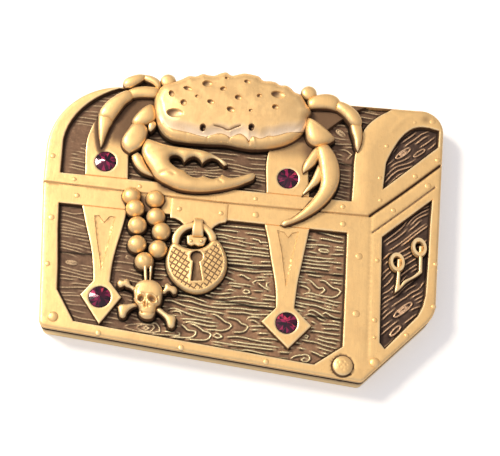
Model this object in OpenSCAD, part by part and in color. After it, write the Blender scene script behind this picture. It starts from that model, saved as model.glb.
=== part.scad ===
// Two-layer relief case in the outline of a treasure chest with a crab on its lid.
// It lies on its flat back: +X to the right of the picture, +Y to the lid, +Z out of the relief.
// The relief cover turns on the rivet in its lower right corner and bares a shallow tray.

/* [Outline] */
// width of the chest picture, mm
plate_width = 55.7; // [45:0.1:70]
// height of the chest picture without the crab's crest, mm
plate_height = 40.3; // [34:0.1:50]
// radius of the lid's round left shoulder, mm
shoulder_radius = 10; // [8:0.1:11]
// radius of the lid's round right shoulder, mm
far_shoulder_radius = 3.2; // [2:0.1:4]
// radius between the lower right slope and the right side, mm
slope_radius = 4; // [2:0.1:5]
// radius of the two bottom corners, mm
corner_radius = 0.9; // [0.4:0.1:1.5]

/* [Cover] */
// thickness of the cover under the wood fields, mm
field_floor = 0.6; // [0.5:0.05:1]
// height of the frame bands over the wood fields, mm
band_height = 0.7; // [0.4:0.05:1]
// width of the engraved seam lines, mm
seam_width = 0.2; // [0.1:0.05:0.4]
// depth of the engraved seam lines, mm
seam_depth = 0.2; // [0.1:0.05:0.4]
// depth of the wedge cut into each body strap, mm
wedge_depth = 0.25; // [0.1:0.05:0.4]

/* [Tray] */
// height of the tray, mm
tray_height = 2.6; // [2:0.1:4]
// thickness of the tray's floor, mm
tray_floor = 0.9; // [0.7:0.1:1.5]
// width of the tray's rim, mm
tray_wall = 1.4; // [1:0.1:2]
// depth of the shallow field in the tray's back, mm
back_depth = 0.2; // [0.1:0.05:0.3]
// gap between the tray and the cover, as thick as the washer, mm
layer_gap = 0.35; // [0.2:0.05:0.6]

/* [Pivot] */
// radius of the rivet's round head, mm
head_radius = 1.3; // [1.1:0.05:1.6]
// height of the rivet's head, mm
head_height = 0.6; // [0.4:0.05:0.9]
// radius of the rivet's shank, mm
shank_radius = 0.8; // [0.6:0.05:0.9]
// radial play of the shank in its bores, mm
bore_play = 0.05; // [0.02:0.01:0.08]
// radius of the rivet's closed tail in the tray's back, mm
tail_radius = 1.15; // [1:0.05:1.3]
// thickness of the rivet's tail, mm
tail_height = 0.4; // [0.3:0.05:0.5]
// radius of the washer, mm
washer_radius = 1.7; // [1.4:0.05:2]

/* [Crab] */
// height of the upright rim of the shell, mm
shell_rim = 0.9; // [0.5:0.05:1.2]
// height of the shell's dome over its rim, mm
shell_dome = 1.5; // [1:0.05:2]
// depth of the pits in the shell, mm
pit_depth = 0.3; // [0.15:0.05:0.4]
// gap between neighbouring pieces of the crab, mm
joint_gap = 0.08; // [0.05:0.01:0.15]

/* [Crystals] */
// diameter of a crystal, mm
crystal_diameter = 2.9; // [2.4:0.1:3.2]
// height of a crystal's crown over the strap, mm
crown_height = 0.45; // [0.3:0.05:0.7]
// depth of a crystal's seat, mm
seat_depth = 1; // [0.8:0.05:1.1]
// radial play of a crystal in its seat, mm
seat_play = 0.04; // [0.02:0.01:0.08]

/* [Lock] */
// pitch of the crossed grooves on the padlock, mm
hatch_pitch = 0.75; // [0.6:0.05:1.2]
// depth of the crossed grooves on the padlock, mm
hatch_depth = 0.12; // [0.06:0.02:0.2]
// radius of the padlock's round body, mm
lock_radius = 4.1; // [3.4:0.1:4.4]
// thickness of the padlock's body, mm
lock_height = 0.95; // [0.7:0.05:1.3]
// half width of the shackle's bar, mm
shackle_half = 0.5; // [0.4:0.05:0.6]
// height of the shackle, mm
shackle_height = 0.8; // [0.6:0.05:0.9]
// thickness of the hasp's plate over the bands, mm
hasp_height = 0.15; // [0.1:0.05:0.25]
// thickness of the staple's strap where it bridges the shackle, mm
staple_thickness = 0.35; // [0.25:0.05:0.5]
// width of the staple's strap, mm
staple_width = 1.3; // [1:0.1:1.6]

/* [Charm] */
// radius of a bead, mm
bead_radius = 1.33; // [1.1:0.01:1.4]
// height of a bead's centre over its seat, mm
bead_lift = 0.25; // [0.1:0.05:0.4]
// width of the skull, the measure of the charm, mm
skull_width = 3.75; // [3:0.05:4]
// height of the skull, mm
skull_height = 1.4; // [1:0.05:1.6]

/* [Side handle] */
// length of the handle's lower bar, the measure of the handle, mm
handle_span = 3.9; // [3.4:0.1:4.2]
// half width of the handle's bar, mm
handle_half = 0.27; // [0.2:0.01:0.3]
// height of the handle over the wood field, mm
handle_height = 0.8; // [0.6:0.05:1]

/* [Dome studs] */
// radius of a small stud, mm
stud_radius = 0.33; // [0.25:0.01:0.4]
// height of a small stud, mm
stud_height = 0.2; // [0.15:0.01:0.3]
// radius of the two large studs, mm
big_stud_radius = 0.7; // [0.5:0.05:0.8]
// height of the two large studs, mm
big_stud_height = 0.35; // [0.2:0.05:0.5]

/* [Hidden] */
overrun = 0.5 * seam_depth;
round_steps = 96;
fillet_steps = 10;
flow_steps = 3;
section_steps = 8;
shell_steps = 56;
dome_steps = 6;
facet_count = 8;

cover_bottom = tray_height + layer_gap;
field_level = cover_bottom + field_floor;
band_level = field_level + band_height;
crystal_radius = crystal_diameter / 2;
seat_radius = crystal_radius + seat_play;
bore_radius = shank_radius + bore_play;

brass_color = "darkkhaki";
dark_brass_color = "rosybrown";
crystal_color = "mediumvioletred";

// places on the plate, as shares of its width and height
function at(s) = [s.x * plate_width, s.y * plate_height];
function on_plate(shares) = [for (s = shares) at(s)];

outline_shares = [
    [0.036, 0.118], [0.803, 0], [0.977, 0.24], [1, 0.986], [0, 1], [0.005, 0.62]
];
outline_radii = [corner_radius, corner_radius, slope_radius, far_shoulder_radius, shoulder_radius, 0];
lid_field_shares = [
    [0.045, 0.658], [0.768, 0.625], [0.77, 0.701], [0.774, 0.8], [0.785, 0.857], [0.798, 0.904],
    [0.814, 0.932], [0.834, 0.954], [0.864, 0.978], [0.186, 0.993]
];
lid_arc_shares = [
    [0.267, 0.763], [0.491, 1.015]
];
body_field_shares = [
    [0.05, 0.547], [0.055, 0.453], [0.065, 0.329], [0.069, 0.244], [0.116, 0.14], [0.689, 0.047],
    [0.755, 0.113], [0.757, 0.254], [0.759, 0.51]
];
lid_end_field_shares = [
    [0.845, 0.677], [0.984, 0.85], [0.987, 0.913], [0.961, 0.922], [0.94, 0.923], [0.922, 0.917],
    [0.904, 0.9], [0.888, 0.875], [0.872, 0.837], [0.859, 0.803], [0.852, 0.778]
];
side_field_shares = [
    [0.845, 0.504], [0.843, 0.135], [0.855, 0.114], [0.934, 0.234], [0.946, 0.269], [0.952, 0.304],
    [0.955, 0.354], [0.96, 0.453], [0.963, 0.552], [0.969, 0.651]
];
left_lid_strap_shares = [
    [0.106, 0.644], [0.212, 0.639], [0.211, 0.788], [0.224, 0.842], [0.25, 0.895], [0.283, 0.937],
    [0.335, 1], [0.215, 1.001], [0.171, 0.944], [0.139, 0.9], [0.116, 0.855], [0.105, 0.81]
];
right_lid_strap_shares = [
    [0.556, 0.624], [0.662, 0.619], [0.662, 0.788], [0.674, 0.835], [0.705, 0.89], [0.735, 0.927],
    [0.773, 0.965], [0.805, 0.989], [0.683, 0.991], [0.631, 0.937], [0.595, 0.89], [0.566, 0.835],
    [0.556, 0.788]
];
left_body_strap_shares = [
    [0.105, 0.555], [0.121, 0.478], [0.134, 0.423], [0.143, 0.378], [0.149, 0.329], [0.154, 0.282],
    [0.126, 0.231], [0.177, 0.135], [0.224, 0.231], [0.192, 0.282], [0.195, 0.354], [0.2, 0.403],
    [0.207, 0.453], [0.215, 0.51], [0.218, 0.55]
];
right_body_strap_shares = [
    [0.553, 0.532], [0.566, 0.46], [0.575, 0.396], [0.584, 0.339], [0.591, 0.284], [0.592, 0.23],
    [0.559, 0.18], [0.626, 0.094], [0.679, 0.176], [0.636, 0.233], [0.638, 0.264], [0.643, 0.329],
    [0.65, 0.386], [0.658, 0.453], [0.667, 0.526]
];
left_vee_shares = [
    [0.14, 0.51], [0.165, 0.49], [0.19, 0.509], [0.17, 0.316]
];
right_vee_shares = [
    [0.587, 0.502], [0.613, 0.483], [0.638, 0.502], [0.614, 0.299]
];
seam_shares = [
    [-0.01, 0.622], [0.412, 0.589], [0.814, 0.573], [0.992, 0.782]
];
band_line_shares = [
    [0.821, 0.515], [0.976, 0.699]
];
hasp_shares = [
    [0.327, 0.591], [0.327, 0.517], [0.342, 0.514], [0.355, 0.505], [0.362, 0.491], [0.431, 0.491],
    [0.435, 0.498], [0.448, 0.51], [0.464, 0.517], [0.466, 0.582]
];
body_crystals_shares = [
    [0.172, 0.227], [0.619, 0.18]
];
plank_lines_shares = [
    [0.473, 0.373], [0.577, 0.371], [0.355, 0.261], [0.59, 0.223], [0.663, 0.378], [0.755, 0.371],
    [0.232, 0.125], [0.556, 0.083], [0.06, 0.388], [0.132, 0.383], [0.674, 0.232], [0.753, 0.225],
    [0.053, 0.785], [0.107, 0.785]
];
pivot_shares = [
    [0.756, 0.047]
];
dome_shares = [
    [0.092, 0.577], [0.037, 0.493], [0.04, 0.329], [0.178, 0.105], [0.374, 0.074], [0.575, 0.046],
    [0.532, 0.551], [0.748, 0.54], [0.53, 0.609], [0.746, 0.603], [0.814, 0.86], [0.853, 0.84],
    [0.837, 0.718], [0.838, 0.635], [0.924, 0.939], [0.982, 0.8], [0.925, 0.733], [0.958, 0.701],
    [0.872, 0.602], [0.789, 0.428], [0.834, 0.418], [0.785, 0.227], [0.83, 0.21], [0.972, 0.269],
    [0.908, 0.165], [0.022, 0.716], [0.977, 0.418], [0.794, 0.686]
];
hasp_dome_shares = [
    [0.345, 0.552], [0.447, 0.547]
];
big_dome_shares = [
    [0.067, 0.15], [0.832, 0.066]
];
lock_shares = [
    [0.397, 0.361], [0.389, 0.439]
];
beads_shares = [
    [0.225, 0.584], [0.237, 0.541], [0.246, 0.481], [0.25, 0.414], [0.27, 0.356], [0.284, 0.579],
    [0.289, 0.516], [0.309, 0.465], [0.303, 0.402]
];
skull_place_shares = [
    [0.286, 0.23]
];
staple_shares = [
    [0.369, 0.454], [0.373, 0.422], [0.412, 0.423], [0.417, 0.453], [0.395, 0.521], [0.394, 0.454]
];
handle_place_shares = [
    [0.911, 0.349]
];

pivot = at(pivot_shares[0]);
lock_centre = at(lock_shares[0]);
shackle_centre = at(lock_shares[1]);
skull_centre = at(skull_place_shares[0]);
handle_centre = at(handle_place_shares[0]);

// an outline with its corners rounded by arcs of the given radii
function unit(v) = v / norm(v);
function corner_arc(before, p, after, r) =
    r == 0 ? [p] :
    let (a = unit(before - p), b = unit(after - p),
         half = acos(a * b) / 2,
         centre = p + unit(a + b) * r / sin(half),
         from = p + a * r / tan(half) - centre,
         turn = sign(a.x * b.y - a.y * b.x) * (2 * half - 180))
    [for (i = [0 : fillet_steps])
        let (t = turn * i / fillet_steps)
        centre + [from.x * cos(t) - from.y * sin(t), from.x * sin(t) + from.y * cos(t)]];
function rounded(points, radii) =
    [for (i = [0 : len(points) - 1])
        each corner_arc(points[(i + len(points) - 1) % len(points)], points[i],
                        points[(i + 1) % len(points)], radii[i])];

lid_crystals_shares = [
    [0.153, -0.4089], [0.607, -0.4378]
];
seam_share = 0.6104;
seam_height = seam_share * plate_height;
plate_outline = rounded(on_plate(outline_shares), outline_radii);
function inset(points, wall) =
    [for (p = points)
        [wall + p.x * (1 - 2 * wall / plate_width), wall + p.y * (1 - 2 * wall / plate_height)]];

// the crab fills the room between the lid's crystals and stands on its left claw:
// rows of place, half width and height, as shares of its shell's width
crab_room_share = 0.89;
crab_span = crab_room_share * (lid_crystals_shares[1].x - lid_crystals_shares[0].x) * plate_width;
claw_foot_share = 0.584;
crab_place_share = 0.456;
crab_centre = [crab_place_share * plate_width, seam_height + claw_foot_share * crab_span];
function crab_rows(shares) =
    [for (s = shares) [crab_centre.x + s[0] * crab_span, crab_centre.y + s[1] * crab_span,
                       s[2] * crab_span, s[3] * crab_span]];
left_claw_lower_shares = [
    [-0.487, -0.338, 0.067, 0.058], [-0.429, -0.391, 0.102, 0.069], [-0.367, -0.453, 0.093, 0.071],
    [-0.287, -0.502, 0.073, 0.067], [-0.198, -0.527, 0.056, 0.062], [-0.109, -0.524, 0.049, 0.058],
    [-0.02, -0.507, 0.044, 0.053], [0.069, -0.478, 0.032, 0.044], [0.131, -0.453, 0.02, 0.031],
    [0.169, -0.438, 0.007, 0.016]
];
left_claw_upper_shares = [
    [-0.464, -0.316, 0.067, 0.058], [-0.393, -0.324, 0.051, 0.064], [-0.309, -0.324, 0.038, 0.062],
    [-0.22, -0.333, 0.038, 0.06], [-0.131, -0.34, 0.035, 0.053], [-0.064, -0.358, 0.027, 0.044],
    [-0.027, -0.378, 0.018, 0.031], [-0.016, -0.396, 0.007, 0.016]
];
claw_teeth_shares = [
    [-0.26, -0.38, 0.016, 0.04], [-0.156, -0.378, 0.016, 0.04], [-0.144, -0.473, 0.016, 0.04],
    [-0.031, -0.456, 0.015, 0.036], [-0.256, -0.444, 0.018, 0.04]
];
left_arm_shares = [
    [-0.524, -0.051, 0.02, 0.036], [-0.558, -0.098, 0.038, 0.051], [-0.571, -0.151, 0.042, 0.058],
    [-0.587, -0.209, 0.049, 0.062], [-0.602, -0.267, 0.056, 0.062], [-0.609, -0.32, 0.044, 0.053],
    [-0.602, -0.351, 0.018, 0.027]
];
left_elbow_shares = [
    [-0.5, -0.04, 0.016, 0.036], [-0.498, -0.102, 0.027, 0.053], [-0.509, -0.164, 0.033, 0.058],
    [-0.542, -0.213, 0.038, 0.06], [-0.549, -0.262, 0.033, 0.058], [-0.562, -0.311, 0.018, 0.04]
];
left_wrist_shares = [
    [-0.576, -0.378, 0.016, 0.027], [-0.549, -0.418, 0.028, 0.04], [-0.509, -0.453, 0.028, 0.04],
    [-0.469, -0.473, 0.013, 0.027]
];
right_arm_shares = [
    [0.509, -0.044, 0.02, 0.044], [0.522, -0.102, 0.051, 0.062], [0.529, -0.151, 0.06, 0.067],
    [0.536, -0.191, 0.049, 0.053], [0.544, -0.213, 0.027, 0.036]
];
right_elbow_shares = [
    [0.54, -0.062, 0.02, 0.049], [0.576, -0.102, 0.042, 0.064], [0.6, -0.142, 0.047, 0.069],
    [0.598, -0.178, 0.036, 0.056], [0.58, -0.204, 0.02, 0.04]
];
right_claw_long_shares = [
    [0.571, -0.222, 0.042, 0.049], [0.602, -0.276, 0.056, 0.062], [0.618, -0.338, 0.067, 0.071],
    [0.624, -0.413, 0.067, 0.071], [0.613, -0.484, 0.062, 0.067], [0.584, -0.551, 0.051, 0.06],
    [0.536, -0.616, 0.042, 0.053], [0.469, -0.676, 0.032, 0.047], [0.407, -0.72, 0.022, 0.036],
    [0.351, -0.749, 0.011, 0.02]
];
right_claw_mid_shares = [
    [0.58, -0.364, 0.044, 0.062], [0.556, -0.422, 0.033, 0.053], [0.522, -0.48, 0.022, 0.042],
    [0.489, -0.524, 0.013, 0.029], [0.464, -0.553, 0.004, 0.013]
];
right_claw_inner_shares = [
    [0.562, -0.244, 0.036, 0.049], [0.529, -0.289, 0.036, 0.053], [0.504, -0.333, 0.031, 0.049],
    [0.482, -0.369, 0.019, 0.036], [0.464, -0.402, 0.004, 0.013]
];
left_leg_front_shares = [
    [-0.491, 0.058, 0.031, 0.044], [-0.567, 0.058, 0.035, 0.056], [-0.624, 0.04, 0.036, 0.053],
    [-0.656, 0.022, 0.042, 0.06], [-0.713, -0.027, 0.05, 0.062], [-0.749, -0.08, 0.04, 0.051],
    [-0.764, -0.111, 0.044, 0.058], [-0.782, -0.187, 0.036, 0.047], [-0.788, -0.262, 0.02, 0.031],
    [-0.789, -0.32, 0.004, 0.013]
];
left_leg_back_shares = [
    [-0.456, 0.133, 0.022, 0.04], [-0.518, 0.164, 0.029, 0.051], [-0.562, 0.164, 0.022, 0.042],
    [-0.589, 0.158, 0.03, 0.051], [-0.642, 0.129, 0.035, 0.047], [-0.66, 0.093, 0.031, 0.036]
];
right_leg_front_shares = [
    [0.491, 0.067, 0.031, 0.044], [0.558, 0.084, 0.047, 0.058], [0.616, 0.089, 0.04, 0.051],
    [0.647, 0.08, 0.051, 0.062], [0.7, 0.049, 0.053, 0.062], [0.74, 0.013, 0.042, 0.051],
    [0.76, -0.018, 0.051, 0.06], [0.784, -0.076, 0.04, 0.051], [0.796, -0.147, 0.027, 0.036],
    [0.8, -0.218, 0.005, 0.013]
];
left_knob_shares = [
    [-0.407, 0.16, 0.051, 0.044]
];
right_knob_shares = [
    [0.482, 0.144, 0.051, 0.044]
];
lip_shares = [
    [-0.464, -0.067, 0.022, 0.04], [-0.438, -0.142, 0.04, 0.058], [-0.384, -0.196, 0.049, 0.071],
    [-0.287, -0.207, 0.051, 0.076], [-0.153, -0.204, 0.051, 0.078], [0.002, -0.211, 0.051, 0.08],
    [0.158, -0.218, 0.051, 0.078], [0.291, -0.196, 0.051, 0.071], [0.389, -0.147, 0.044, 0.058],
    [0.442, -0.084, 0.022, 0.04]
];
pits_shares = [
    [-0.296, 0.111, 0.028, 0], [-0.393, 0.056, 0.022, 0], [-0.309, -0.002, 0.024, 0],
    [-0.167, 0.14, 0.033, 0], [-0.131, 0.016, 0.022, 0], [-0.009, -0.024, 0.029, 0],
    [0.033, 0.06, 0.027, 0], [0.082, 0.18, 0.027, 0], [0.273, 0.113, 0.038, 0],
    [0.269, 0.011, 0.022, 0], [-0.173, -0.158, 0.02, 0], [0.122, -0.131, 0.022, 0],
    [-0.376, -0.069, 0.033, 0], [-0.327, -0.073, 0.033, 0], [-0.1, -0.136, 0.013, 0],
    [-0.078, -0.144, 0.013, 0], [-0.056, -0.149, 0.013, 0], [-0.033, -0.151, 0.013, 0],
    [-0.011, -0.151, 0.013, 0], [0.011, -0.147, 0.013, 0], [0.033, -0.14, 0.013, 0],
    [0.051, -0.131, 0.013, 0]
];

// the crystals' centres: those of the lid keep their height beside the crab's claws
crystal_places = concat(
    [for (s = lid_crystals_shares) [s.x * plate_width, crab_centre.y + s.y * crab_span]],
    on_plate(body_crystals_shares));

// a smooth run through the rows of a table
function blend(a, b, c, d, t) =
    (2 * b + (c - a) * t + (2 * a - 5 * b + 4 * c - d) * t * t
     + (3 * b - a - 3 * c + d) * t * t * t) / 2;
function flow(rows) =
    [for (i = [0 : len(rows) - 2], k = [0 : flow_steps - 1])
        blend(rows[max(i - 1, 0)], rows[i], rows[i + 1], rows[min(i + 2, len(rows) - 1)],
              k / flow_steps),
     rows[len(rows) - 1]];
function side_way(rows, i) =
    let (a = rows[max(i - 1, 0)], b = rows[min(i + 1, len(rows) - 1)], d = unit([b.x - a.x, b.y - a.y]))
    [-d.y, d.x];
// the ground a limb covers, widened by a margin
function ground(rows, margin) =
    [for (i = [0 : len(rows) - 1]) [rows[i].x, rows[i].y] + side_way(rows, i) * (rows[i][2] + margin),
     for (i = [len(rows) - 1 : -1 : 0])
         [rows[i].x, rows[i].y] - side_way(rows, i) * (rows[i][2] + margin)];
module footprint(rows, margin = 0) polygon(ground(rows, margin));

// a limb: a half-round bar that swells and tapers along its run
module limb(rows, level) {
    n = section_steps + 1;
    last = len(rows) - 1;
    points = [for (i = [0 : last], k = [0 : section_steps])
        let (w = side_way(rows, i), t = 180 * k / section_steps)
        [rows[i].x + w.x * rows[i][2] * cos(t), rows[i].y + w.y * rows[i][2] * cos(t),
         level + rows[i][3] * sin(t)]];
    faces = [[for (k = [0 : section_steps]) k],
        [for (k = [section_steps : -1 : 0]) last * n + k],
        for (i = [0 : last - 1], k = [0 : section_steps])
            let (m = (k + 1) % n) each [[i * n + k, (i + 1) * n + k, (i + 1) * n + m],
                                       [i * n + k, (i + 1) * n + m, i * n + m]]];
    polyhedron(points, faces);
}

// a dome over a closed outline that is seen whole from its centre
module puff(outline, centre, level, rim, rise) {
    n = len(outline);
    rings = [[1, 0], for (i = [0 : dome_steps - 1])
        let (t = 90 * i / dome_steps) [cos(t), rim + rise * sin(t)]];
    last = len(rings) - 1;
    points = [for (r = rings, p = outline)
            [centre.x + (p.x - centre.x) * r[0], centre.y + (p.y - centre.y) * r[0], level + r[1]],
        [centre.x, centre.y, level + rim + rise]];
    faces = [[for (k = [0 : n - 1]) k],
        for (i = [0 : last - 1], k = [0 : n - 1])
            let (m = (k + 1) % n) each [[i * n + k, (i + 1) * n + m, i * n + m],
                                       [i * n + k, (i + 1) * n + k, (i + 1) * n + m]],
        for (k = [0 : n - 1]) [last * n + k, len(points) - 1, last * n + (k + 1) % n]];
    polyhedron(points, faces);
}

// the shell's outline: round on top with small scallops, flatter along the front
shell_lift_share = 0.042;
shell_rise_share = 0.222;
shell_top_power = 2.1;
shell_front_power = 3;
scallop_share = 0.014;
scallop_count = 11;
shell_centre = crab_centre + [0, shell_lift_share * crab_span];
shell_half = [crab_span / 2, shell_rise_share * crab_span];
function power_way(c, s, p) = pow(pow(abs(c), p) + pow(abs(s), p), -1 / p);
function shell_point(t, grow) =
    let (c = cos(t), s = sin(t), r = power_way(c, s, s > 0 ? shell_top_power : shell_front_power),
         wave = s > 0 ? scallop_share * crab_span * s * (abs(sin(scallop_count * t)) - 1) : 0)
    shell_centre + [(shell_half.x + grow + wave) * c * r, (shell_half.y + grow + wave) * s * r];
function shell_outline(grow) = [for (i = [0 : shell_steps - 1]) shell_point(360 * i / shell_steps, grow)];
shell_top = shell_centre.y + shell_half.y;
function dome_rise(p) =
    let (u = (p.x - shell_centre.x) / shell_half.x, v = (p.y - shell_centre.y) / shell_half.y)
    shell_rim + shell_dome * sqrt(max(0, 1 - u * u - v * v));

left_claw_lower = flow(crab_rows(left_claw_lower_shares));
left_claw_upper = flow(crab_rows(left_claw_upper_shares));
left_arm = flow(crab_rows(left_arm_shares));
left_elbow = flow(crab_rows(left_elbow_shares));
left_wrist = flow(crab_rows(left_wrist_shares));
right_arm = flow(crab_rows(right_arm_shares));
right_elbow = flow(crab_rows(right_elbow_shares));
right_claw_long = flow(crab_rows(right_claw_long_shares));
right_claw_mid = flow(crab_rows(right_claw_mid_shares));
right_claw_inner = flow(crab_rows(right_claw_inner_shares));
left_leg_front = flow(crab_rows(left_leg_front_shares));
left_leg_back = flow(crab_rows(left_leg_back_shares));
right_leg_front = flow(crab_rows(right_leg_front_shares));
lip = flow(crab_rows(lip_shares));
left_knob = crab_rows(left_knob_shares)[0];
right_knob = crab_rows(right_knob_shares)[0];
teeth = crab_rows(claw_teeth_shares);

// a long table's place of a piece on the whole plate: the box centre is the frame's origin
module whole() translate([-plate_width / 2, -shell_top / 2, 0]) children();
module layer(from, to) translate([0, 0, from]) linear_extrude(to - from) children();
module disc(p, r, from, to)
    translate([p.x, p.y, from]) cylinder(h = to - from, r = r, $fn = round_steps);
module cap(p, r, rise, level) {
    ball = (r * r + rise * rise) / (2 * rise);
    intersection() {
        translate([p.x, p.y, level + rise - ball]) sphere(ball, $fn = round_steps);
        disc(p, r + overrun, level, level + rise + overrun);
    }
}
module strip(a, b, width) {
    w = [-(b - a).y, (b - a).x] * width / 2 / norm(b - a);
    polygon([a + w, b + w, b - w, a - w]);
}

// the lid's wood field: its left edge is a quarter of an ellipse
lid_arc_start_angle = 110;
arc_centre = at(lid_arc_shares[0]);
arc_corner = at(lid_arc_shares[1]);
lid_arc = [for (i = [1 : fillet_steps - 1])
    let (t = lid_arc_start_angle + (180 - lid_arc_start_angle) * i / fillet_steps)
    arc_centre + [(arc_corner.x - arc_centre.x) * cos(t), (arc_corner.y - arc_centre.y) * sin(t)]];
lid_field = concat(on_plate(lid_field_shares), lid_arc);
module fields() {
    polygon(lid_field);
    polygon(on_plate(body_field_shares));
    polygon(on_plate(lid_end_field_shares));
    polygon(on_plate(side_field_shares));
}
strap_shares = [left_lid_strap_shares, right_lid_strap_shares, left_body_strap_shares,
                right_body_strap_shares];
module strap_ground(i) intersection() {
    polygon(on_plate(strap_shares[i]));
    fields();
}
module straps() for (i = [0 : len(strap_shares) - 1]) strap_ground(i);

// everything that needs raised ground under it inside the wood fields
module lands() {
    polygon(shell_outline(0));
    for (rows = [left_claw_lower, left_claw_upper, left_arm, left_elbow, left_wrist, right_arm,
                 right_elbow, right_claw_long, right_claw_mid, right_claw_inner, left_leg_front,
                 left_leg_back, right_leg_front, lip])
        footprint(rows);
    translate(lock_centre) circle(lock_radius, $fn = round_steps);
    footprint(shackle);
    polygon(on_plate(hasp_shares));
    polygon(staple_base);
    for (p = bead_places) translate(p) circle(bead_radius, $fn = round_steps);
    polygon(skull_outline);
    for (rows = bones) footprint(rows);
    footprint(link);
}

module cover_outline() {
    polygon(plate_outline);
    polygon(shell_outline(-tray_wall / 4));
}

module case_tray() color(brass_color) whole() difference() {
    layer(0, tray_height) polygon(plate_outline);
    layer(tray_floor, tray_height + overrun) difference() {
        polygon(inset(plate_outline, tray_wall));
        translate(pivot) circle(washer_radius + tray_wall / 2, $fn = round_steps);
    }
    layer(-overrun, back_depth) difference() {
        polygon(inset(plate_outline, tray_wall));
        translate(pivot) circle(washer_radius + tray_wall / 2, $fn = round_steps);
    }
    disc(pivot, bore_radius, -overrun, tray_height + overrun);
    disc(pivot, tail_radius + bore_play, -overrun, tail_height + bore_play);
}

module spacer_washer() color(brass_color) whole() difference() {
    disc(pivot, washer_radius, tray_height, cover_bottom);
    disc(pivot, bore_radius, tray_height - overrun, cover_bottom + overrun);
}

module pivot_rivet() color(brass_color) whole() {
    disc(pivot, tail_radius, bore_play, tail_height + bore_play);
    disc(pivot, shank_radius, bore_play, band_level);
    disc(pivot, head_radius, band_level, band_level + head_height / 3);
    cap(pivot, head_radius, 2 * head_height / 3, band_level + head_height / 3);
}

module cover_plate() color(dark_brass_color) whole() difference() {
    union() {
        layer(cover_bottom, field_level) cover_outline();
        layer(field_level, band_level) difference() {
            cover_outline();
            difference() { fields(); lands(); }
            straps();
        }
    }
    for (p = crystal_places)
        disc(p, seat_radius, band_level - seat_depth, band_level + overrun);
    disc(pivot, bore_radius, cover_bottom - overrun, band_level + overrun);
    layer(band_level - seam_depth, band_level + overrun) {
        for (i = [0 : len(seam_shares) - 2]) strip(at(seam_shares[i]), at(seam_shares[i + 1]), seam_width);
        strip(at(band_line_shares[0]), at(band_line_shares[1]), seam_width);
    }
    planks = on_plate(plank_lines_shares);
    layer(field_level - seam_depth, field_level + overrun) difference() {
        for (i = [0 : 2 : len(planks) - 1]) strip(planks[i], planks[i + 1], seam_width);
        lands();
    }
}

module strap(i) difference() {
    layer(field_level, band_level) strap_ground(i);
    disc(crystal_places[i], seat_radius, field_level - overrun, band_level + overrun);
}
module lid_strap_left() color(brass_color) whole() strap(0);
module lid_strap_right() color(brass_color) whole() strap(1);
module body_strap_left() color(brass_color) whole() difference() {
    strap(2);
    layer(band_level - wedge_depth, band_level + overrun) polygon(on_plate(left_vee_shares));
}
module body_strap_right() color(brass_color) whole() difference() {
    strap(3);
    layer(band_level - wedge_depth, band_level + overrun) polygon(on_plate(right_vee_shares));
}

module crystal(p) color(crystal_color) whole() translate([p.x, p.y, band_level]) {
    table_share = 0.58;
    culet_share = 0.3;
    girdle = seat_depth / 8;
    cylinder(h = crown_height, r1 = crystal_radius, r2 = crystal_radius * table_share, $fn = facet_count);
    translate([0, 0, -girdle]) cylinder(h = girdle, r = crystal_radius, $fn = round_steps);
    translate([0, 0, -seat_depth])
        cylinder(h = seat_depth - girdle, r1 = crystal_radius * culet_share, r2 = crystal_radius,
                 $fn = facet_count);
}
module crystal_lid_left() crystal(crystal_places[0]);
module crystal_lid_right() crystal(crystal_places[1]);
module crystal_body_left() crystal(crystal_places[2]);
module crystal_body_right() crystal(crystal_places[3]);

// the crab
module keep_off(margin = joint_gap) {
    layer(band_level - overrun, band_level + crab_span) {
        polygon(shell_outline(margin));
        footprint(lip, margin);
        for (p = crystal_places) translate(p) circle(crystal_radius + margin, $fn = round_steps);
        children();
    }
}
module crab_shell() color(brass_color) whole() difference() {
    union() {
        puff(shell_outline(0), shell_centre, band_level, shell_rim, shell_dome);
        limb(lip, band_level);
    }
    for (p = crab_rows(pits_shares)) {
        ball = (p[2] * p[2] + pit_depth * pit_depth) / (2 * pit_depth);
        translate([p.x, p.y, band_level + dome_rise(p) - pit_depth + ball]) sphere(ball, $fn = round_steps);
    }
}
module crab_left_claw() color(brass_color) whole() {
    limb(left_claw_lower, band_level);
    limb(left_claw_upper, band_level);
    for (t = teeth) cap(t, t[2], t[3], band_level);
}
module crab_left_wrist() color(brass_color) whole() difference() {
    limb(left_wrist, band_level);
    keep_off() { footprint(left_claw_lower, joint_gap); footprint(left_claw_upper, joint_gap); }
}
module crab_left_arm() color(brass_color) whole() difference() {
    union() { limb(left_arm, band_level); limb(left_elbow, band_level); }
    keep_off() {
        footprint(left_claw_lower, joint_gap);
        footprint(left_claw_upper, joint_gap);
        footprint(left_wrist, joint_gap);
    }
}
module crab_right_arm() color(brass_color) whole() difference() {
    union() { limb(right_arm, band_level); limb(right_elbow, band_level); }
    keep_off();
}
module crab_right_claw() color(brass_color) whole() difference() {
    union() {
        limb(right_claw_long, band_level);
        limb(right_claw_mid, band_level);
        limb(right_claw_inner, band_level);
    }
    keep_off() { footprint(right_arm, joint_gap); footprint(right_elbow, joint_gap); }
}
module crab_left_legs() color(brass_color) whole() difference() {
    union() {
        limb(left_leg_front, band_level);
        limb(left_leg_back, band_level);
        cap(left_knob, left_knob[2], left_knob[3], band_level);
    }
    keep_off() { footprint(left_arm, joint_gap); footprint(left_elbow, joint_gap); }
}
module crab_right_legs() color(brass_color) whole() difference() {
    union() {
        limb(right_leg_front, band_level);
        cap(right_knob, right_knob[2], right_knob[3], band_level);
    }
    keep_off();
}

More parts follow.
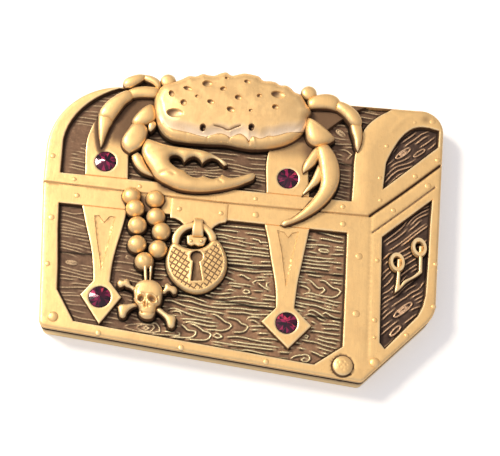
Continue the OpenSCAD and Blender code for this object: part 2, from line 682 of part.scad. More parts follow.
// the hasp, its staple and the padlock
shackle_rise_share = 0.56;
shackle_sweep_share = 0.6;
shackle_end_angle = 22;
shackle_step_angle = 11;
shackle = [for (t = [180 + shackle_end_angle : -shackle_step_angle : -shackle_end_angle])
    [shackle_centre.x + shackle_sweep_share * lock_radius * cos(t),
     shackle_centre.y + shackle_rise_share * lock_radius * sin(t), shackle_half, shackle_height]];
staple_points = on_plate(staple_shares);
staple_base = [for (i = [0 : 3]) staple_points[i]];
staple_top = staple_points[4];
staple_foot = staple_points[5];
bridge_level = band_level + shackle_height + joint_gap;

// the beads hang clear of the round padlock and its shackle
function beside(p, centre, r) =
    let (reach = r + bead_radius + joint_gap, rise = p.y - centre.y)
    abs(rise) < reach ? [min(p.x, centre.x - sqrt(reach * reach - rise * rise)), p.y] : p;
shackle_reach = shackle_sweep_share * lock_radius + shackle_half;
bead_places = [for (p = on_plate(beads_shares))
    beside(beside(p, lock_centre, lock_radius), shackle_centre, shackle_reach)];

module hasp_plate() color(brass_color) whole()
    layer(band_level, band_level + hasp_height) difference() {
        polygon(on_plate(hasp_shares));
        footprint(shackle, joint_gap);
        strip(staple_top, staple_foot, staple_width);
        lock_ground(joint_gap);
        polygon(staple_base);
    }
module hasp_staple() color(brass_color) whole() {
    layer(band_level, band_level + lock_height / 2) polygon(staple_base);
    layer(bridge_level, bridge_level + staple_thickness) strip(staple_top, staple_foot, staple_width);
    layer(band_level, bridge_level) difference() {
        strip(staple_top, staple_foot, staple_width);
        footprint(shackle, joint_gap);
    }
}
module lock_ground(margin = 0) difference() {
    translate(lock_centre) circle(lock_radius + margin, $fn = round_steps);
    translate(shackle_centre) circle(lock_radius * lock_bay_share - margin, $fn = round_steps);
}
lock_bay_share = 0.42;
hatch_angle = 38;
keyhole_share = 0.2;
keyhole_drop_share = 0.62;
keyhole_slot_share = 0.3;
module padlock_body() color(brass_color) whole() difference() {
    layer(band_level, band_level + lock_height) difference() {
        lock_ground();
        footprint(shackle, joint_gap);
        polygon(staple_base);
    }
    key = lock_centre + [0, keyhole_share * lock_radius];
    layer(band_level + lock_height / 2, band_level + lock_height + overrun) {
        translate(key) circle(keyhole_share * lock_radius, $fn = round_steps);
        strip(key, lock_centre - [0, keyhole_drop_share * lock_radius], keyhole_slot_share * lock_radius);
    }
    hatches = ceil(lock_radius / hatch_pitch);
    layer(band_level + lock_height - hatch_depth, band_level + lock_height + overrun)
        difference() {
            translate(lock_centre) for (turn = [hatch_angle, -hatch_angle], i = [-hatches : hatches])
                rotate(turn) translate([i * hatch_pitch, 0])
                    square([hatch_pitch / 4, 2 * lock_radius], center = true);
            translate(key) circle(2 * keyhole_share * lock_radius, $fn = round_steps);
        }
}
module padlock_shackle() color(brass_color) whole() limb(shackle, band_level);

// the bead strand, its link, the skull and the crossed bones
function by_skull(shares) =
    [for (s = shares) [skull_centre.x + s[0] * skull_width, skull_centre.y + s[1] * skull_width,
                       s[2] * skull_width, s[3] * skull_width]];
skull_outline_shares = [
    [0.19, 0.64], [0.37, 0.51], [0.48, 0.29], [0.5, -0.03], [0.45, -0.29], [0.37, -0.45],
    [0.33, -0.64], [0.19, -0.76], [-0.03, -0.79], [-0.23, -0.69], [-0.29, -0.51], [-0.33, -0.32],
    [-0.47, -0.16], [-0.49, 0.11], [-0.43, 0.4], [-0.24, 0.6], [-0.01, 0.67]
];
bones_shares = [
    [-0.37, 0.24, 0.11, 0.2], [-0.83, 0.47, 0.1, 0.19], [-0.35, -0.21, 0.11, 0.2],
    [-0.77, -0.53, 0.12, 0.19], [0.43, 0.24, 0.11, 0.2], [0.75, 0.41, 0.1, 0.19],
    [0.35, -0.29, 0.11, 0.2], [0.85, -0.75, 0.13, 0.19]
];
bone_ends_shares = [
    [-1, 0.47, 0.13, 0.17], [-0.85, 0.57, 0.12, 0.17], [-0.91, -0.47, 0.14, 0.17],
    [-0.81, -0.65, 0.13, 0.17], [0.65, 0.51, 0.12, 0.16], [0.89, 0.36, 0.13, 0.16],
    [0.97, -0.72, 0.13, 0.17], [0.84, -0.88, 0.13, 0.17]
];
link_shares = [
    [-0.09, 1.09, 0.13, 0.19], [-0.05, 0.45, 0.13, 0.19]
];
sockets_shares = [
    [-0.25, -0.03, 0.15, 0.39], [0.23, 0, 0.15, 0.39], [-0.05, -0.28, 0.08, 0.37],
    [0.01, -0.28, 0.08, 0.37]
];
skull_outline = [for (s = skull_outline_shares) skull_centre + s * skull_width];
bone_rows = by_skull(bones_shares);
bones = [for (i = [0 : 2 : len(bone_rows) - 1]) [bone_rows[i], bone_rows[i + 1]]];
link = by_skull(link_shares);

module bead_strand() color(brass_color) whole() intersection() {
    for (p = bead_places) translate([p.x, p.y, band_level + bead_lift])
        sphere(bead_radius, $fn = round_steps);
    layer(band_level, band_level + 2 * bead_radius) square([plate_width, plate_height]);
}
module charm_link() color(brass_color) whole() difference() {
    limb(link, band_level);
    layer(band_level - overrun, band_level + 2 * bead_radius) {
        for (p = bead_places) translate(p) circle(bead_radius + joint_gap, $fn = round_steps);
        polygon(skull_outline);
    }
}
module skull() color(brass_color) whole() difference() {
    puff(skull_outline, skull_centre, band_level, skull_height / 3, 2 * skull_height / 3);
    for (s = by_skull(sockets_shares)) translate([s.x, s.y, band_level + s[3]])
        sphere(s[2], $fn = round_steps);
}
module crossbones() color(brass_color) whole() difference() {
    union() {
        for (rows = bones) limb(rows, band_level);
        for (s = by_skull(bone_ends_shares)) cap(s, s[2], s[3], band_level);
    }
    layer(band_level - overrun, band_level + 2 * bead_radius) {
        polygon(skull_outline);
        lock_ground(joint_gap);
        for (p = crystal_places) translate(p) circle(crystal_radius + joint_gap, $fn = round_steps);
    }
}

// the side handle hangs in two open rings
handle_shares = [
    [-0.35, 0.77], [-0.37, -0.23], [-0.44, -0.45], [-0.32, -0.28], [0.4, 0.35], [0.41, 1.36]
];
rings_shares = [
    [-0.41, 0.68], [0.36, 1.28]
];
function by_handle(s) = handle_centre + [s.x, s.y] * handle_span;
function bar(a, b) = [[a.x, a.y, handle_half, handle_height], [b.x, b.y, handle_half, handle_height]];
ring_start_angle = 235;
ring_end_angle = -5;
ring_step_angle = 15;
ring_width_share = 0.21;
ring_rise_share = 0.3;
module side_handle() color(brass_color) whole() {
    handle_points = [for (s = handle_shares) by_handle(s)];
    for (i = [0 : len(handle_points) - 2]) limb(bar(handle_points[i], handle_points[i + 1]), field_level);
}
module handle_rings() color(brass_color) whole()
    for (s = rings_shares) {
        c = by_handle(s);
        limb([for (t = [ring_start_angle : -ring_step_angle : ring_end_angle])
            [c.x + ring_width_share * handle_span * cos(t), c.y + ring_rise_share * handle_span * sin(t),
             handle_half, handle_height]], field_level);
    }

module dome_studs() color(brass_color) whole() {
    for (p = on_plate(dome_shares)) cap(p, stud_radius, stud_height, band_level);
    for (p = on_plate(big_dome_shares)) cap(p, big_stud_radius, big_stud_height, band_level);
    for (p = on_plate(hasp_dome_shares)) cap(p, stud_radius, stud_height, band_level + hasp_height);
}

case_tray();
spacer_washer();
pivot_rivet();
cover_plate();
lid_strap_left();
lid_strap_right();
body_strap_left();
body_strap_right();
crystal_lid_left();
crystal_lid_right();
crystal_body_left();
crystal_body_right();
crab_shell();
crab_left_claw();
crab_left_wrist();
crab_left_arm();
crab_right_arm();
crab_right_claw();
crab_left_legs();
crab_right_legs();
hasp_plate();
hasp_staple();
padlock_body();
padlock_shackle();
bead_strand();
charm_link();
skull();
crossbones();
side_handle();
handle_rings();
dome_studs();
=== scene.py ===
"""The dressed two-layer relief case: a chest picture with a crab on its lid, turning on a rivet over a tray."""

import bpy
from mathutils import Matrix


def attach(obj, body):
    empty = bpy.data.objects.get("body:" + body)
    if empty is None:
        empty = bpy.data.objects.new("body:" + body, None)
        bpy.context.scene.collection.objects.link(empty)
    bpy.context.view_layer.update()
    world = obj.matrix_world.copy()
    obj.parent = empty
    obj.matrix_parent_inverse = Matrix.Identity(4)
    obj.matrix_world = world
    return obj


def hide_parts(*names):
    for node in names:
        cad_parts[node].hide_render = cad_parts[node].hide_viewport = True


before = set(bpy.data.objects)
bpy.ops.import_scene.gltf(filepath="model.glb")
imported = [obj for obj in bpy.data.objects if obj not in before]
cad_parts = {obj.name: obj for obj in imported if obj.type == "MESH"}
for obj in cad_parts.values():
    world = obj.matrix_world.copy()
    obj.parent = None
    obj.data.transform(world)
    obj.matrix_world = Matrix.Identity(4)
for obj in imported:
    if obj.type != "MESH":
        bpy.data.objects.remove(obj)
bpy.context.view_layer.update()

import math
import bmesh
import bpy
import numpy as np
from mathutils import Matrix, Vector
from mathutils.bvhtree import BVHTree
from mathutils.geometry import delaunay_2d_cdt

# All outlines are millimetres in the picture's plane, from the middle of the view; heights stand over the ground.
MM = 0.001
SHIFT = np.array([1.10, -1.5945])                   # from the picture's middle to the part's own frame
FIELD, BAND, BOTTOM, TRAY = 3.55, 4.25, 2.95, 2.6   # wood, frame, the cover's underside and the tray's rim
FLOOR_PLATE = 3.45                                  # where the relief's solids start
HALF, BACK_DEPTH = 0.5, 0.2                         # joint of the tray's halves, and the back's recess
TOP_LIMIT = 6.64                                    # nothing stands higher
SHARP = 38                                          # degrees: meshes are smooth over flatter bends
ROW = 0.866                                         # the height of an even triangle to its side
LEDGE = 0.07                                        # the walls' extra row, below the top's edge
GUTTER = 0.45                                       # the grid's least distance from the rows, in its own steps
COVER, CASE = "cover", "case"

# ------------------------------------------------------------------ plane geometry


def unit(v):
    """Vectors of length 1."""
    return v / np.maximum(np.linalg.norm(v, axis=-1, keepdims=True), 1e-12)


def xy(text):
    """A table of numbers: rows parted by spaces, the numbers of a row by commas."""
    return np.array([row.split(",") for row in text.split()], float)


def curve(points, closed=True, step=0.2, corner=52):
    """A smooth run through given points; turns sharper than corner stay corners."""
    P = np.asarray(points, float)
    n = len(P)
    D = np.roll(P, -1, 0) - P
    L = np.maximum(np.linalg.norm(D, axis=1), 1e-9)
    D = D / L[:, None]
    bend = math.cos(math.radians(corner))

    def tangent(k, own):
        if not closed and k in (0, n - 1):
            return D[own]
        a, b, la, lb = D[k - 1], D[k], L[k - 1], L[k]
        return D[own] if a @ b < bend else unit(a * lb + b * la)

    out = []
    for i in range(n if closed else n - 1):
        j = (i + 1) % n
        t = (np.arange(max(1, math.ceil(L[i] / step))) / max(1, math.ceil(L[i] / step)))[:, None]
        m0, m1 = tangent(i, i) * L[i], tangent(j, i) * L[i]
        out.append(P[i] * (2 * t**3 - 3 * t**2 + 1) + m0 * (t**3 - 2 * t**2 + t)
                   + P[j] * (3 * t**2 - 2 * t**3) + m1 * (t**3 - t**2))
    if not closed:
        out.append(P[-1:])
    return np.concatenate(out)


def line(points, step=0.2):
    """Straight edges, split into short steps."""
    return curve(points, True, step, -1)


def rounded(points, radii, step=0.2):
    """Straight edges with arcs at the corners."""
    P = np.asarray(points, float)
    out = []
    for i, (p, r) in enumerate(zip(P, radii)):
        a, b = unit(P[i - 1] - p), unit(P[(i + 1) % len(P)] - p)
        if r == 0:
            out.append(p[None])
            continue
        half = math.acos(np.clip(a @ b, -1, 1)) / 2
        c = p + unit(a + b) * r / math.sin(half)
        f = p + a * r / math.tan(half) - c
        turn = np.sign(a[0] * b[1] - a[1] * b[0]) * (2 * half - math.pi)
        k = max(3, math.ceil(abs(turn) * r / step))
        t = np.linspace(0, turn, k + 1)
        out.append(c + np.stack([f[0] * np.cos(t) - f[1] * np.sin(t),
                                 f[0] * np.sin(t) + f[1] * np.cos(t)], 1))
    return line(np.concatenate(out), step)


def circle(c, r, step=0.2, squash=1.0, turn=0.0):
    """A loop of points round c, squashed across and then turned."""
    n = max(16, math.ceil(2 * math.pi * r / step))
    t = np.arange(n) * 2 * math.pi / n
    x, y = r * np.cos(t), squash * r * np.sin(t)
    a = math.radians(turn)
    return np.asarray(c) + np.stack([x * math.cos(a) - y * math.sin(a),
                                     x * math.sin(a) + y * math.cos(a)], 1)


def inside(loops, P):
    """Which points lie inside an odd number of the loops."""
    P = np.asarray(P, float)
    hit = np.zeros(len(P), bool)
    for Q in loops:
        a, b = Q, np.roll(Q, -1, 0)
        dy = b[:, 1] - a[:, 1]
        dy = np.where(dy == 0, 1e-12, dy)
        near = np.flatnonzero((P[:, 0] > Q[:, 0].min()) & (P[:, 0] < Q[:, 0].max())
                              & (P[:, 1] > Q[:, 1].min()) & (P[:, 1] < Q[:, 1].max()))
        for s in range(0, len(near), 8000):
            k = near[s:s + 8000]
            x, y = P[k, :1], P[k, 1:]
            cross = (a[:, 1] > y) != (b[:, 1] > y)
            at = a[:, 0] + (y - a[:, 1]) * (b[:, 0] - a[:, 0]) / dy
            hit[k] ^= (cross & (x < at)).sum(1) % 2 == 1
    return hit


def distance(lines, P, closed=True):
    """Distance from each point to the nearest of the polylines."""
    P = np.asarray(P, float)
    A = np.concatenate([Q if closed else Q[:-1] for Q in lines])
    B = np.concatenate([np.roll(Q, -1, 0) if closed else Q[1:] for Q in lines])
    E = B - A
    LL = np.maximum((E * E).sum(1), 1e-12)
    out = np.empty(len(P))
    for s in range(0, len(P), 4000):
        q = P[s:s + 4000, None] - A
        t = np.clip((q * E).sum(2) / LL, 0, 1)
        q -= t[..., None] * E
        out[s:s + 4000] = np.sqrt((q * q).sum(2).min(1))
    return out


def bell(P, points, width):
    """1 on a line, falling off to 0 over its width."""
    Q = curve(points, False, 0.25) if len(points) > 2 else np.asarray(points, float)
    if len(Q) == 1:
        Q = np.concatenate([Q, Q + 1e-6])
    lo, hi = Q.min(0) - 3 * width, Q.max(0) + 3 * width
    near = np.flatnonzero(((P > lo) & (P < hi)).all(1))
    out = np.zeros(len(P))
    if len(near):
        out[near] = peak(distance([Q], P[near], False), 0, width)
    return out


def grain_noise(P, scale, seed):
    """Smooth noise from -1 to 1 whose cells are scale wide."""
    q = np.asarray(P, float) / scale
    i = np.floor(q)
    f = q - i
    f = f * f * (3 - 2 * f)

    def h(dx, dy):
        v = np.sin((i[:, 0] + dx) * 127.1 + (i[:, 1] + dy) * 311.7 + seed * 74.7) * 43758.5453
        return v - np.floor(v)
    top = h(0, 0) * (1 - f[:, 0]) + h(1, 0) * f[:, 0]
    low = h(0, 1) * (1 - f[:, 0]) + h(1, 1) * f[:, 0]
    return 2 * (top * (1 - f[:, 1]) + low * f[:, 1]) - 1


def step_up(a, b, x):
    """0 up to a, 1 from b on and a smooth rise between; falls if b is less."""
    t = np.clip((x - a) / (b - a), 0, 1)
    return t * t * (3 - 2 * t)


def peak(v, at, width):
    """1 where v is at a value, falling off to 0 over the width on both sides."""
    return np.exp(-((v - at) / width) ** 2)


def bevel(d, r):
    """How far an edge rounded with radius r has fallen at the distance d from it."""
    return np.where(d < r, r - np.sqrt(np.maximum(r * r - (r - d) ** 2, 0)), 0)


def oval(x, y, cx, cy, a, b, turn=0.0):
    """Where a point lies in a turned oval, 0 in its middle and 1 on its rim, and its place from the middle."""
    t = math.radians(turn)
    dx, dy = x - cx, y - cy
    return np.hypot((dx * math.cos(t) + dy * math.sin(t)) / a, (-dx * math.sin(t) + dy * math.cos(t)) / b), dx, dy


def closed(q):
    """The closed run of a loop's points."""
    return np.concatenate([q, q[:1]])


def normals(Q):
    """Left normals, mitred."""
    d = unit(np.roll(Q, -1, 0) - Q)
    r = np.stack([-d[:, 1], d[:, 0]], 1)
    n = unit(r + np.roll(r, 1, 0))
    return n / np.maximum((n * r).sum(1), 0.45)[:, None]


def triangles(P, edges):
    """Constrained Delaunay: points, triangles, and the first source point of each point."""
    r = delaunay_2d_cdt([Vector(p) for p in P.tolist()], edges, [], 0, 1e-6, True)
    V = np.array([tuple(v) for v in r[0]])
    T = np.array([tuple(f) for f in r[2]], int)
    a, b, c = V[T[:, 0]], V[T[:, 1]], V[T[:, 2]]
    area = (b[:, 0] - a[:, 0]) * (c[:, 1] - a[:, 1]) - (b[:, 1] - a[:, 1]) * (c[:, 0] - a[:, 0])
    T[area < 0] = T[area < 0][:, ::-1]
    return V, T[np.abs(area) > 1e-9], [v[0] if v else -1 for v in r[3]]


def rim_loops(T):
    """Ordered loops of the edges used by one triangle only, inside on their left."""
    E = np.concatenate([T[:, [0, 1]], T[:, [1, 2]], T[:, [2, 0]]])
    seen = set(map(tuple, E.tolist()))
    nxt = {}
    for a, b in seen:
        if (b, a) not in seen:
            nxt.setdefault(a, []).append(b)
    loops = []
    while nxt:
        start = next(iter(nxt))
        loop, at = [], start
        while at in nxt:
            loop.append(at)
            b = nxt[at].pop()
            if not nxt[at]:
                del nxt[at]
            at = b
            if at == start:
                break
        if len(loop) > 2:
            loops.append(loop)
    return loops


def chains(loops):
    """The loops' points in one list, and the edges along the loops."""
    P, E, n = [], [], 0
    for Q in loops:
        P.append(Q)
        E += [(n + i, n + (i + 1) % len(Q)) for i in range(len(Q))]
        n += len(Q)
    return np.concatenate(P), E


def merge(loops, rule):
    """Boolean of outlines: the longest rim of the triangles whose middles satisfy the rule."""
    V, T, _ = triangles(*chains(loops))
    return max((V[k] for k in rim_loops(T[rule(V[T].mean(1))])), key=len)


def wound(loops):
    """The outer loop runs left-handed round the area and holes the other way."""
    out = []
    for i, Q in enumerate(loops):
        a = (Q[:, 0] * np.roll(Q[:, 1], -1) - Q[:, 1] * np.roll(Q[:, 0], -1)).sum()
        out.append(Q if (a > 0) == (i == 0) else Q[::-1])
    return out


def poisson(V, T, fixed):
    """u with a constant pull over the triangles and 0 on the fixed points: its root is a round section."""
    a, b, c = V[T[:, 0]], V[T[:, 1]], V[T[:, 2]]
    area2 = np.abs((b[:, 0] - a[:, 0]) * (c[:, 1] - a[:, 1]) - (b[:, 1] - a[:, 1]) * (c[:, 0] - a[:, 0]))
    I, J, W = [], [], []
    for k in range(3):
        o, p, q = T[:, k], T[:, (k + 1) % 3], T[:, (k + 2) % 3]
        w = 0.5 * ((V[p] - V[o]) * (V[q] - V[o])).sum(1) / np.maximum(area2, 1e-9)
        I.append(p), J.append(q), W.append(w)
    I, J, W = np.concatenate(I), np.concatenate(J), np.concatenate(W)
    n = len(V)
    diag = np.bincount(I, W, n) + np.bincount(J, W, n)
    rhs = 2 * np.bincount(T.ravel(), np.repeat(area2 / 3, 3), n)
    free = ~fixed & (diag > 1e-9)
    pre = np.where(free, 1 / np.maximum(diag, 1e-9), 0)

    def apply(x):
        return np.where(free, diag * x - np.bincount(I, W * x[J], n) - np.bincount(J, W * x[I], n), 0)
    x, r = np.zeros(n), np.where(free, rhs, 0)
    z = pre * r
    p, rz = z.copy(), r @ z
    for _ in range(900):
        q = apply(p)
        s = rz / max(p @ q, 1e-30)
        x += s * p
        r -= s * q
        z = pre * r
        new = r @ z
        if new < 1e-9 * len(V):
            break
        p = z + new / rz * p
        rz = new
    return np.maximum(x, 0)


# ------------------------------------------------------------------ relief sheets


def shell(loops, top, base, rows, pitch, lines=(), puff=False, draft=0.0, hole_draft=None, lined=False):
    """One closed relief solid: a top over the loops, walls and a flat underside at base.

    top gives the heights of the points P from their distance d to the rim and u, which is the pull's root where
    the form is puffed and else d too. Rows of points run along the rim at these distances, lines are further rows,
    and the rest is a grid of this pitch. The walls lean out by the draft, a hole's by hole_draft. The walls are
    marked for painted shade with patina at their foot; a lined solid is marked so along the rim of its top as well.
    """
    loops = wound([np.asarray(Q) for Q in loops])
    P, E = chains(loops)
    parts, n = [P], len(P)
    for s in rows:
        for Q in loops:
            R = Q + normals(Q) * s
            ok = (distance(loops, R) > 0.9 * s) & inside(loops, R)
            parts.append(R)
            E += [(n + i, n + (i + 1) % len(R)) for i in range(len(R)) if ok[i] and ok[(i + 1) % len(R)]]
            parts[-1] = np.where(ok[:, None], R, Q)
            n += len(R)
    for Q in lines:
        Q = np.asarray(Q, float)
        ok = inside(loops, Q) & (distance(loops, Q) > 0.04)
        if ok.any():
            keep = np.cumsum(ok) - 1
            E += [(n + keep[i], n + keep[i + 1]) for i in range(len(Q) - 1) if ok[i] and ok[i + 1]]
            parts.append(Q[ok])
            n += int(ok.sum())
    lo, hi = P.min(0), P.max(0)
    ys = np.arange(lo[1], hi[1], pitch * ROW)
    xs = np.arange(lo[0], hi[0], pitch)
    G = np.stack(np.meshgrid(xs, ys), 2)
    G[1::2, :, 0] += pitch / 2
    G = G.reshape(-1, 2)
    G = G[inside(loops, G)]
    if len(G):
        G = G[distance(loops, G) > (rows[-1] if rows else 0) + GUTTER * pitch]
        parts.append(G)
    V, T, _ = triangles(np.concatenate(parts), [(int(a), int(b)) for a, b in E])
    T = T[inside(loops, V[T].mean(1))]
    used = np.unique(T)
    back = np.full(len(V), -1)
    back[used] = np.arange(len(used))
    V, T = V[used], back[T]
    rims = rim_loops(T)
    rim = np.zeros(len(V), bool)
    rim[np.concatenate(rims)] = True
    d = distance(loops, V)
    d[rim] = 0
    u = np.sqrt(poisson(V, T, rim)) if puff else d
    z = np.minimum(top(V, d, u), TOP_LIMIT)
    low2 = []
    for k, loop in enumerate(rims):
        Q = V[loop]
        a = (Q[:, 0] * np.roll(Q[:, 1], -1) - Q[:, 1] * np.roll(Q[:, 0], -1)).sum()
        w = draft if a > 0 or hole_draft is None else hole_draft
        low2.append(Q - normals(Q) * w)
    B, around = np.concatenate(low2), np.concatenate(rims)
    below = np.clip(LEDGE / np.maximum(z[around] - base, 0.01), 0, 0.5)[:, None]
    A3, B3 = np.column_stack([V[around], z[around]]), np.column_stack([B, np.full(len(B), base)])
    V3 = np.concatenate([np.column_stack([V, z]), A3 + (B3 - A3) * below, B3])
    F = T.tolist()
    n, k = len(V), len(B)
    for loop in rims:
        m = len(loop)
        for i in range(m):
            j = (i + 1) % m
            F += [[loop[j], loop[i], n + i, n + j], [n + j, n + i, n + k + i, n + k + j]]
        n += m
    bp, be = chains(low2)
    bv, bt, src = triangles(bp, be)
    bt = bt[inside(low2, bv[bt].mean(1))]
    src = np.array(src)
    if (src[bt] >= 0).all():
        F += (src[bt][:, ::-1] + len(V) + k).tolist()
    return V3, F, len(T), np.concatenate([d if lined else d + 9, np.zeros(2 * k)])


def hull(V):
    """Faces of the convex hull, flat ones joined."""
    bm = bmesh.new()
    vs = [bm.verts.new(v) for v in V.tolist()]
    tag = {v: i for i, v in enumerate(vs)}
    bmesh.ops.convex_hull(bm, input=vs)
    bmesh.ops.dissolve_limit(bm, angle_limit=0.03, verts=bm.verts, edges=bm.edges)
    faces = [[tag[v] for v in f.verts] for f in bm.faces]
    bm.free()
    return faces


PIECES = []


def piece(name, shells, material, nodes, body=COVER, slot="brass", sharp=SHARP, extra=None):
    """Several closed solids as one named piece, with what its material reads at each point in extra."""
    V, F, tops, n = [], [], [], 0
    for v, f, k, _ in shells:
        tops += [[i + n for i in t] for t in f[:k]]
        F += [[i + n for i in t] for t in f]
        V.append(v)
        n += len(v)
    # 1 on walls and on the rims of lined tops, where build paints shade with patina at their foot.
    wall = 1 - step_up(0.0, 0.13, np.concatenate([s[3] for s in shells]))
    PIECES.append(dict(name=name, V=np.concatenate(V), F=F, tops=tops, material=material, nodes=nodes,
                       body=body, slot=slot, sharp=sharp, extra=extra or {}, wall=wall))


def relief(node, shells, material="gold", **more):
    """The piece that shows one node of the cover's relief."""
    piece(node + "_relief", shells, material, [node], **more)


def level_top(z):
    """The top of a solid that is flat at z."""
    return lambda P, d, u: np.full(len(P), z)


def ball(d, reach, high):
    """A quarter round that rises from the rim and is level from reach on."""
    t = np.clip(d / reach, 0, 1)
    return high * np.sqrt(1 - (1 - t) ** 2)


def limb(loop, cap, rise, foot, level=BAND, carve=None, pitch=0.17):
    """A swelling round-backed form over a loop: an upright foot, then a round that levels off at the height cap."""
    def top(P, d, u):
        h = rise * u
        z = level + foot + h / (1 + (h / cap) ** 3.0) ** (1 / 3.0)
        return z - (carve(P, d) if carve else 0)
    return shell([loop], top, FIELD, (0.05, 0.12, 0.22), pitch, puff=True, lined=True)

# ------------------------------------------------------------------ the plate and its wood fields

PLATE = rounded(xy("-26.92,-15.5 15.8,-20.25 25.48,-10.57 26.75,19.5 -28.95,20.05 -28.65,4.75"),
                [0.9, 0.9, 4, 3.2, 10, 0])
ARC = [(-14.1 + 12.5 * math.cos(math.radians(t)), 10.5 + 10.15 * math.sin(math.radians(t)))
       for t in range(116, 180, 6)]
LID_FIELD = line(np.concatenate([
    xy("-26.45,6.25 13.8,4.95"),
    curve(xy("13.95,8 14.15,12 14.75,14.3 15.5,16.2 16.4,17.3 17.5,18.25 19.4,19.42"), False, 0.4), ARC]))
BODY_FIELD = line(xy("""
    -26.15,1.8 -25.9,-2 -25.35,-7 -25.1,-10.4 -22.5,-14.6 9.4,-18.35 13.1,-15.7 13.2,-10 13.3,.3"""))
END_FIELD = line(np.concatenate([
    xy("18.1,7.05 25.85,14 26,16.55"),
    curve(xy("24.6,16.9 23.4,16.95 22.4,16.7 21.4,16 20.5,15 19.6,13.5 18.9,12.1 18.5,11.1"), False, 0.4)]))
SIDE_FIELD = line(xy("""
    18.1,.05 18,-14.8 18.7,-15.65 23.1,-10.8 23.75,-9.4 24.1,-8 24.25,-6 24.5,-2 24.7,2 25,6"""))
FIELDS = [LID_FIELD, BODY_FIELD, END_FIELD, SIDE_FIELD]
CARAPACE = curve(xy("""
    -13.9,20.4 -13,20.95 -12.2,21.25 -11.2,21.75 -10.2,22.35 -9.2,22.4 -8.2,22.85 -7.4,22.75 -6.6,22.7 -5.8,23.15
    -4.8,23.35 -4.1,22.95 -3.4,23.1 -2.4,23.42 -1.2,23.3 -.2,23.1 .5,22.45 1.3,22.5 2.2,22.35 2.9,21.95 3.6,22
    4.4,21.6 5,21 5.9,20.65 6.5,19.8 7,18.9 7.35,18.5 7.55,17.7 7.1,16.8 7.15,15.9 6.7,14.6 5.8,13.4 4.7,12.6 3,11.9
    1,11.5 -.6,11.35 -2.2,11.5 -4,11.75 -6,11.7 -8,11.65 -10,11.7 -11.8,11.95 -12.9,12.7 -13.6,13.7 -14.2,15.1
    -14.65,16.6 -14.85,18 -14.6,19.2"""), True, 0.2, 75)
CARAPACE = CARAPACE + step_up(12.5, 18.5, CARAPACE[:, 1:]) * np.array([0.22, -0.3]) + np.array([0.05, 0])
PIVOT = np.array([13.15, -18.35])
BORE = circle(PIVOT, 0.85, 0.15)
middle = CARAPACE.mean(0)
LOBE = middle + (CARAPACE - middle) * 0.965
COVER_RIM = [merge([PLATE, LOBE], lambda P: inside([PLATE], P) | inside([LOBE], P))]

FRONT_SEAM = xy("-28.9,4.76 -17,4.12 -6,3.5 5,3.2 16.4,2.9")
SIDE_SEAM = [(16.4, 3.0), (21.2, 6.95), (26.1, 11.2)]
SIDE_LINE = [(16.8, 0.6), (21, 4.1), (25.4, 7.9)]
CREASE = [(16.55, 2.6), (16.5, -6), (16.45, -17)]
ARCH_CROWN = xy("15.9,4.6 15.9,9 16.2,12.5 17.2,15.2 18.9,17.2 21.2,18.7 24,19.3")
ARCH_RIDGE = xy("19.2,15.9 20.2,17.1 21.4,18.2 23,19.1 24.6,19.5")
STUDS = xy("""
    -23.8,3,.36 -26.9,-.4,.42 -26.7,-7,.36 -19.05,-16,.36 -8.1,-17.25,.36 3.1,-18.4,.36 .7,1.95,.42 12.7,1.5,.4
    .55,4.3,.3 12.6,4.05,.34 16.4,14.4,.34 18.55,13.6,.32 17.65,8.7,.3 17.75,5.35,.3 22.5,17.6,.36 25.75,12,.34
    22.6,9.3,.34 24.4,8,.44 19.6,4,.34 15,-3,.46 17.5,-3.4,.3 14.8,-11.1,.46 17.3,-11.8,.34 25.2,-9.4,.32
    21.6,-13.6,.32 -27.7,8.6,.36 25.45,-3.4,.3 15.3,7.4,.5 -24.4,5.35,.3 -15.4,4.95,.3 23.4,19,.3 25,17.9,.46
    17.3,-14.2,.24""")
HASP_STUDS = [(-9.75, 2.0, .36), (-4.05, 1.8, .36)]
BIG_STUDS = [(-25.2, -14.2, .7), (17.4, -17.6, .7)]
GEMS = [(-20.42, 8.3), (4.85, 7.65), (-19.35, -11.1), (5.55, -13.0)]
GEM_R = 1.41


def along(a, b, step):
    """Points on the straight from a to b."""
    a, b = np.array(a, float), np.array(b, float)
    return a + np.linspace(0, 1, max(2, int(np.linalg.norm(b - a) / step)))[:, None] * (b - a)


def beside(points, offs):
    """Rows beside a line, so that the mesh follows what is cut along it."""
    Q = curve(points, False, 0.22)
    t = unit(np.gradient(Q, axis=0))
    n = np.stack([-t[:, 1], t[:, 0]], 1)
    return [Q + n * o for o in offs]


def ripple(P, amount, scale, seed=1):
    """The slight unevenness of a struck surface."""
    return amount * (grain_noise(P, scale, seed) + 0.5 * grain_noise(P, scale * 0.37, seed + 5))


def frame_top(P, d, u):
    """Heights of the frame: rounded edges, the arch's crown, the seams and the studs' rings."""
    out = distance(COVER_RIM, P)
    z = BAND - bevel(out, 0.4) - bevel(d, 0.12) * (out > 0.5)
    z += 0.14 * bell(P, ARCH_CROWN, 1.5) * step_up(0, 0.6, d) + 0.05 * bell(P, ARCH_RIDGE, 0.3)
    z -= 0.17 * bell(P, FRONT_SEAM, 0.1) + 0.34 * bell(P, SIDE_SEAM, 0.17) + 0.16 * bell(P, SIDE_LINE, 0.12)
    z -= 0.05 * bell(P, CREASE, 0.22)
    z += 0.04 * bell(P, [(x, y + 0.28) for x, y in FRONT_SEAM], 0.18)
    z -= 0.1 * peak(np.linalg.norm(P - PIVOT, axis=1), 1.38, 0.1)
    for x, y, r in BIG_STUDS:
        z -= 0.05 * peak(np.hypot(P[:, 0] - x, P[:, 1] - y) - r, 0.06, 0.08)
    return z + ripple(P, 0.014, 2.2) * step_up(0, 0.5, d)


